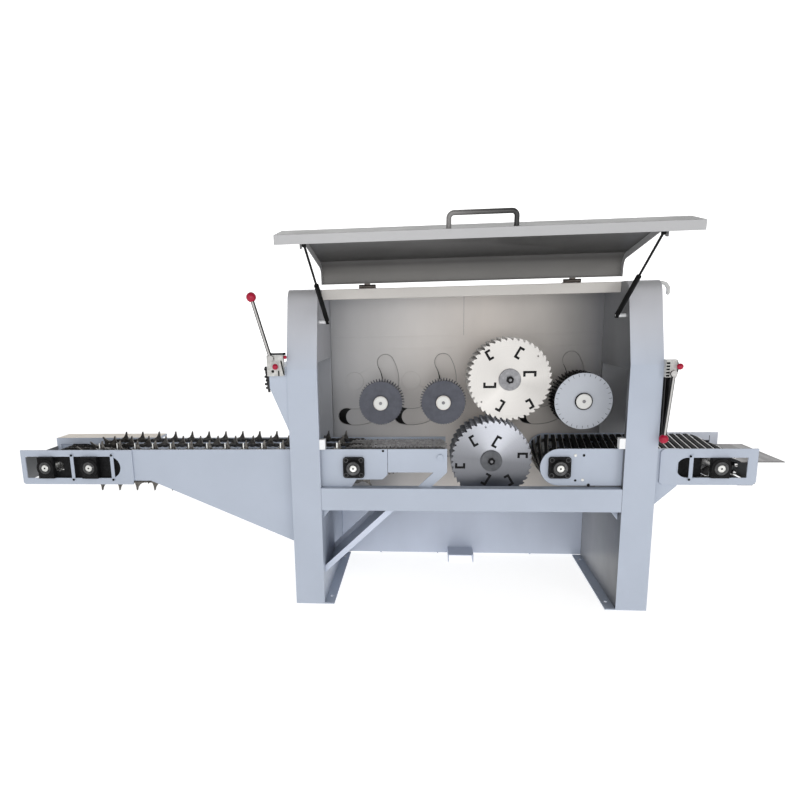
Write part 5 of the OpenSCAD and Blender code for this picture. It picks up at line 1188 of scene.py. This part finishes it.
# The handle bar's grey-to-black tone is painted light.
piece("lid_handle_bar", [handle], handle_painted_light, "lid", "black_iron", ["lid_handle"])
studs = [tube([(s * x, -265, 1421) for x in (690, 706, 723.5)], 8.5, (0, 1, 0), 16) for s in (-1, 1)]
piece("spring_studs", studs, hub_white, "machine", "white_parts")

# %% [markdown]
# A lever is a rod with a light band, which is a painted reflection, a red ball and a bracket with a clamp
# bolt, slots and a dark dot; the slots are flat black marks of painted shade. The curtain beside the left
# bracket has a ragged rubber edge.

# %% Lever fittings
LEVERS = (("hand_lever_left", (-936.88, 1257.28), math.radians(15.4), 1.035),
          ("hand_lever_right", (902.98, 1159.985), math.radians(-184.4), 1.05))


def lever_spots(pivot, lean, reaches):
    """Points on a lever's axis at the given distances from its pivot."""
    way = np.array([-math.sin(lean), 0, math.cos(lean)])
    return np.array([pivot[0], -422.5, pivot[1]]) + np.asarray(reaches)[:, None] * way


for lever, pivot, lean, stretch in LEVERS:
    path = lever_spots(pivot, lean, stretch * np.array([14.0, 150.0, 276.0]))
    piece(lever + "_rod", [tube(path, 8.8, (0, 1, 0), 20)], rod_painted_reflection, body_of[lever], "lever_steel")
left, pivot, lean = LEVERS[0][:3]
knob = lever_spots(pivot, lean, [296])[0]
piece("lever_ball", [ball(23.4, *knob, 28)], red_ball, body_of[left], "red_knob")
bolt = [tube([(x, -400, 1277) for x in (-950, -910, -869)], 4.6, (0, 1, 0), 12),
        bar((-952, -408, 1270), (-940, -392, 1284)), bar((-880, -406, 1271), (-871, -394, 1283))]
piece("clamp_bolt", bolt, *IRON)
piece("clamp_knob", [ball(9, -872.5, -398, 1261, 18)], red_ball, "machine", "red_knob")
# The brackets' slots are flat black marks, painted shade; a dark dot sits among them.
marks = [prism([(-893, 1246), (-886, 1246), (-874, 1180), (-881, 1180)], -415.45, -414.6),
         prism(polygon(18, 7, -931, 1196), -415.4, -414.6), bar((-906, -415.4, 1173.5), (-899, -414.6, 1199))]
marks += [bar((871.5, -415.4, z), (887, -414.6, z + 9)) for z in range(1146, 1203, 14)]
piece("bracket_slot_painted_shade", marks, *IRON)
ragged = [bar((-978 - 5 * (k % 2), -377, z), (-966, -364, z + 11)) for k, z in enumerate(range(1108, 1199, 18))]
ragged.append(prism([(-981, 1217), (-971, 1217), (-958, 1092), (-968, 1092)], -377, -366))
piece("curtain_bolts", ragged, black_rubber, "machine", "black_rubber", edge=1.5)

# %% [markdown]
# The rear side isn't in the picture, so it follows common practice: ribbed motors with a slotted fan cover
# and a terminal box, and rows of bolts that hold the belt guard and the back panel.

# %% Motors, guard bolts and back panel bolts
MOTOR_Z = 330.0
MOTOR = (motor_paint, "machine", "motor_grey")
GUARD_SPOTS = ((92, 1238), (312, 1238), (521, 858), (722, 462), (725, 205), (145, 205), (-435, 205), (-432, 468),
               (-221, 650), (2, 838), (52, 1054))
PANEL_SPOTS = [(s * 548, z) for s in (-1, 1) for z in range(70, 1560, 182)] + [(x, 1545) for x in range(-411, 412, 137)]


def pads(x, away, ys, half, z0, z1):
    """Square bolt heads on both sides of a motor's axis, at two depths."""
    return [bar((x + s * away - half, y - half, z0), (x + s * away + half, y + half, z1)) for s in (-1, 1) for y in ys]


rib = bar((-2.2, 556, 153), (2.2, 914, 169.5))
rib_turn = np.radians(np.concatenate([np.arange(30, 132, 6.0), np.arange(228, 331, 6.0)]))
# The fan cover's slots are flat black rings: painted shade.
for name, x in (("upper", 600.0), ("lower", -310.0)):
    grill = [band(r + 5, r - 5, 992, 994.6, x, MOTOR_Z, 44) for r in (34.0, 58.0, 82.0, 106.0, 130.0)]
    piece(name + "_motor_ribs", [stamped(rib, x, MOTOR_Z, rib_turn)], *MOTOR)
    piece(name + "_fan_slots", grill, *IRON)
    piece(name + "_fan_seam", [band(161.2, 158, 924, 930, x, MOTOR_Z, 60)], *IRON)
    piece(name + "_terminal_lid", [bar((x - 68, 581, 551), (x + 68, 737, 561.5))], *MOTOR, edge=2.5)
    bolts = pads(x, 128, (612, 856), 9, 189.5, 201) + pads(x, 54, (595, 723), 5, 561, 565)
    piece(name + "_motor_bolts", bolts, *ZINC, edge=1.2)
piece("guard_bolts", hex_heads(GUARD_SPOTS, 10, 499.8, 506), *ZINC, edge=1.0)
piece("panel_bolts", hex_heads(PANEL_SPOTS, 8, 389.8, 395), *ZINC, edge=1.0)
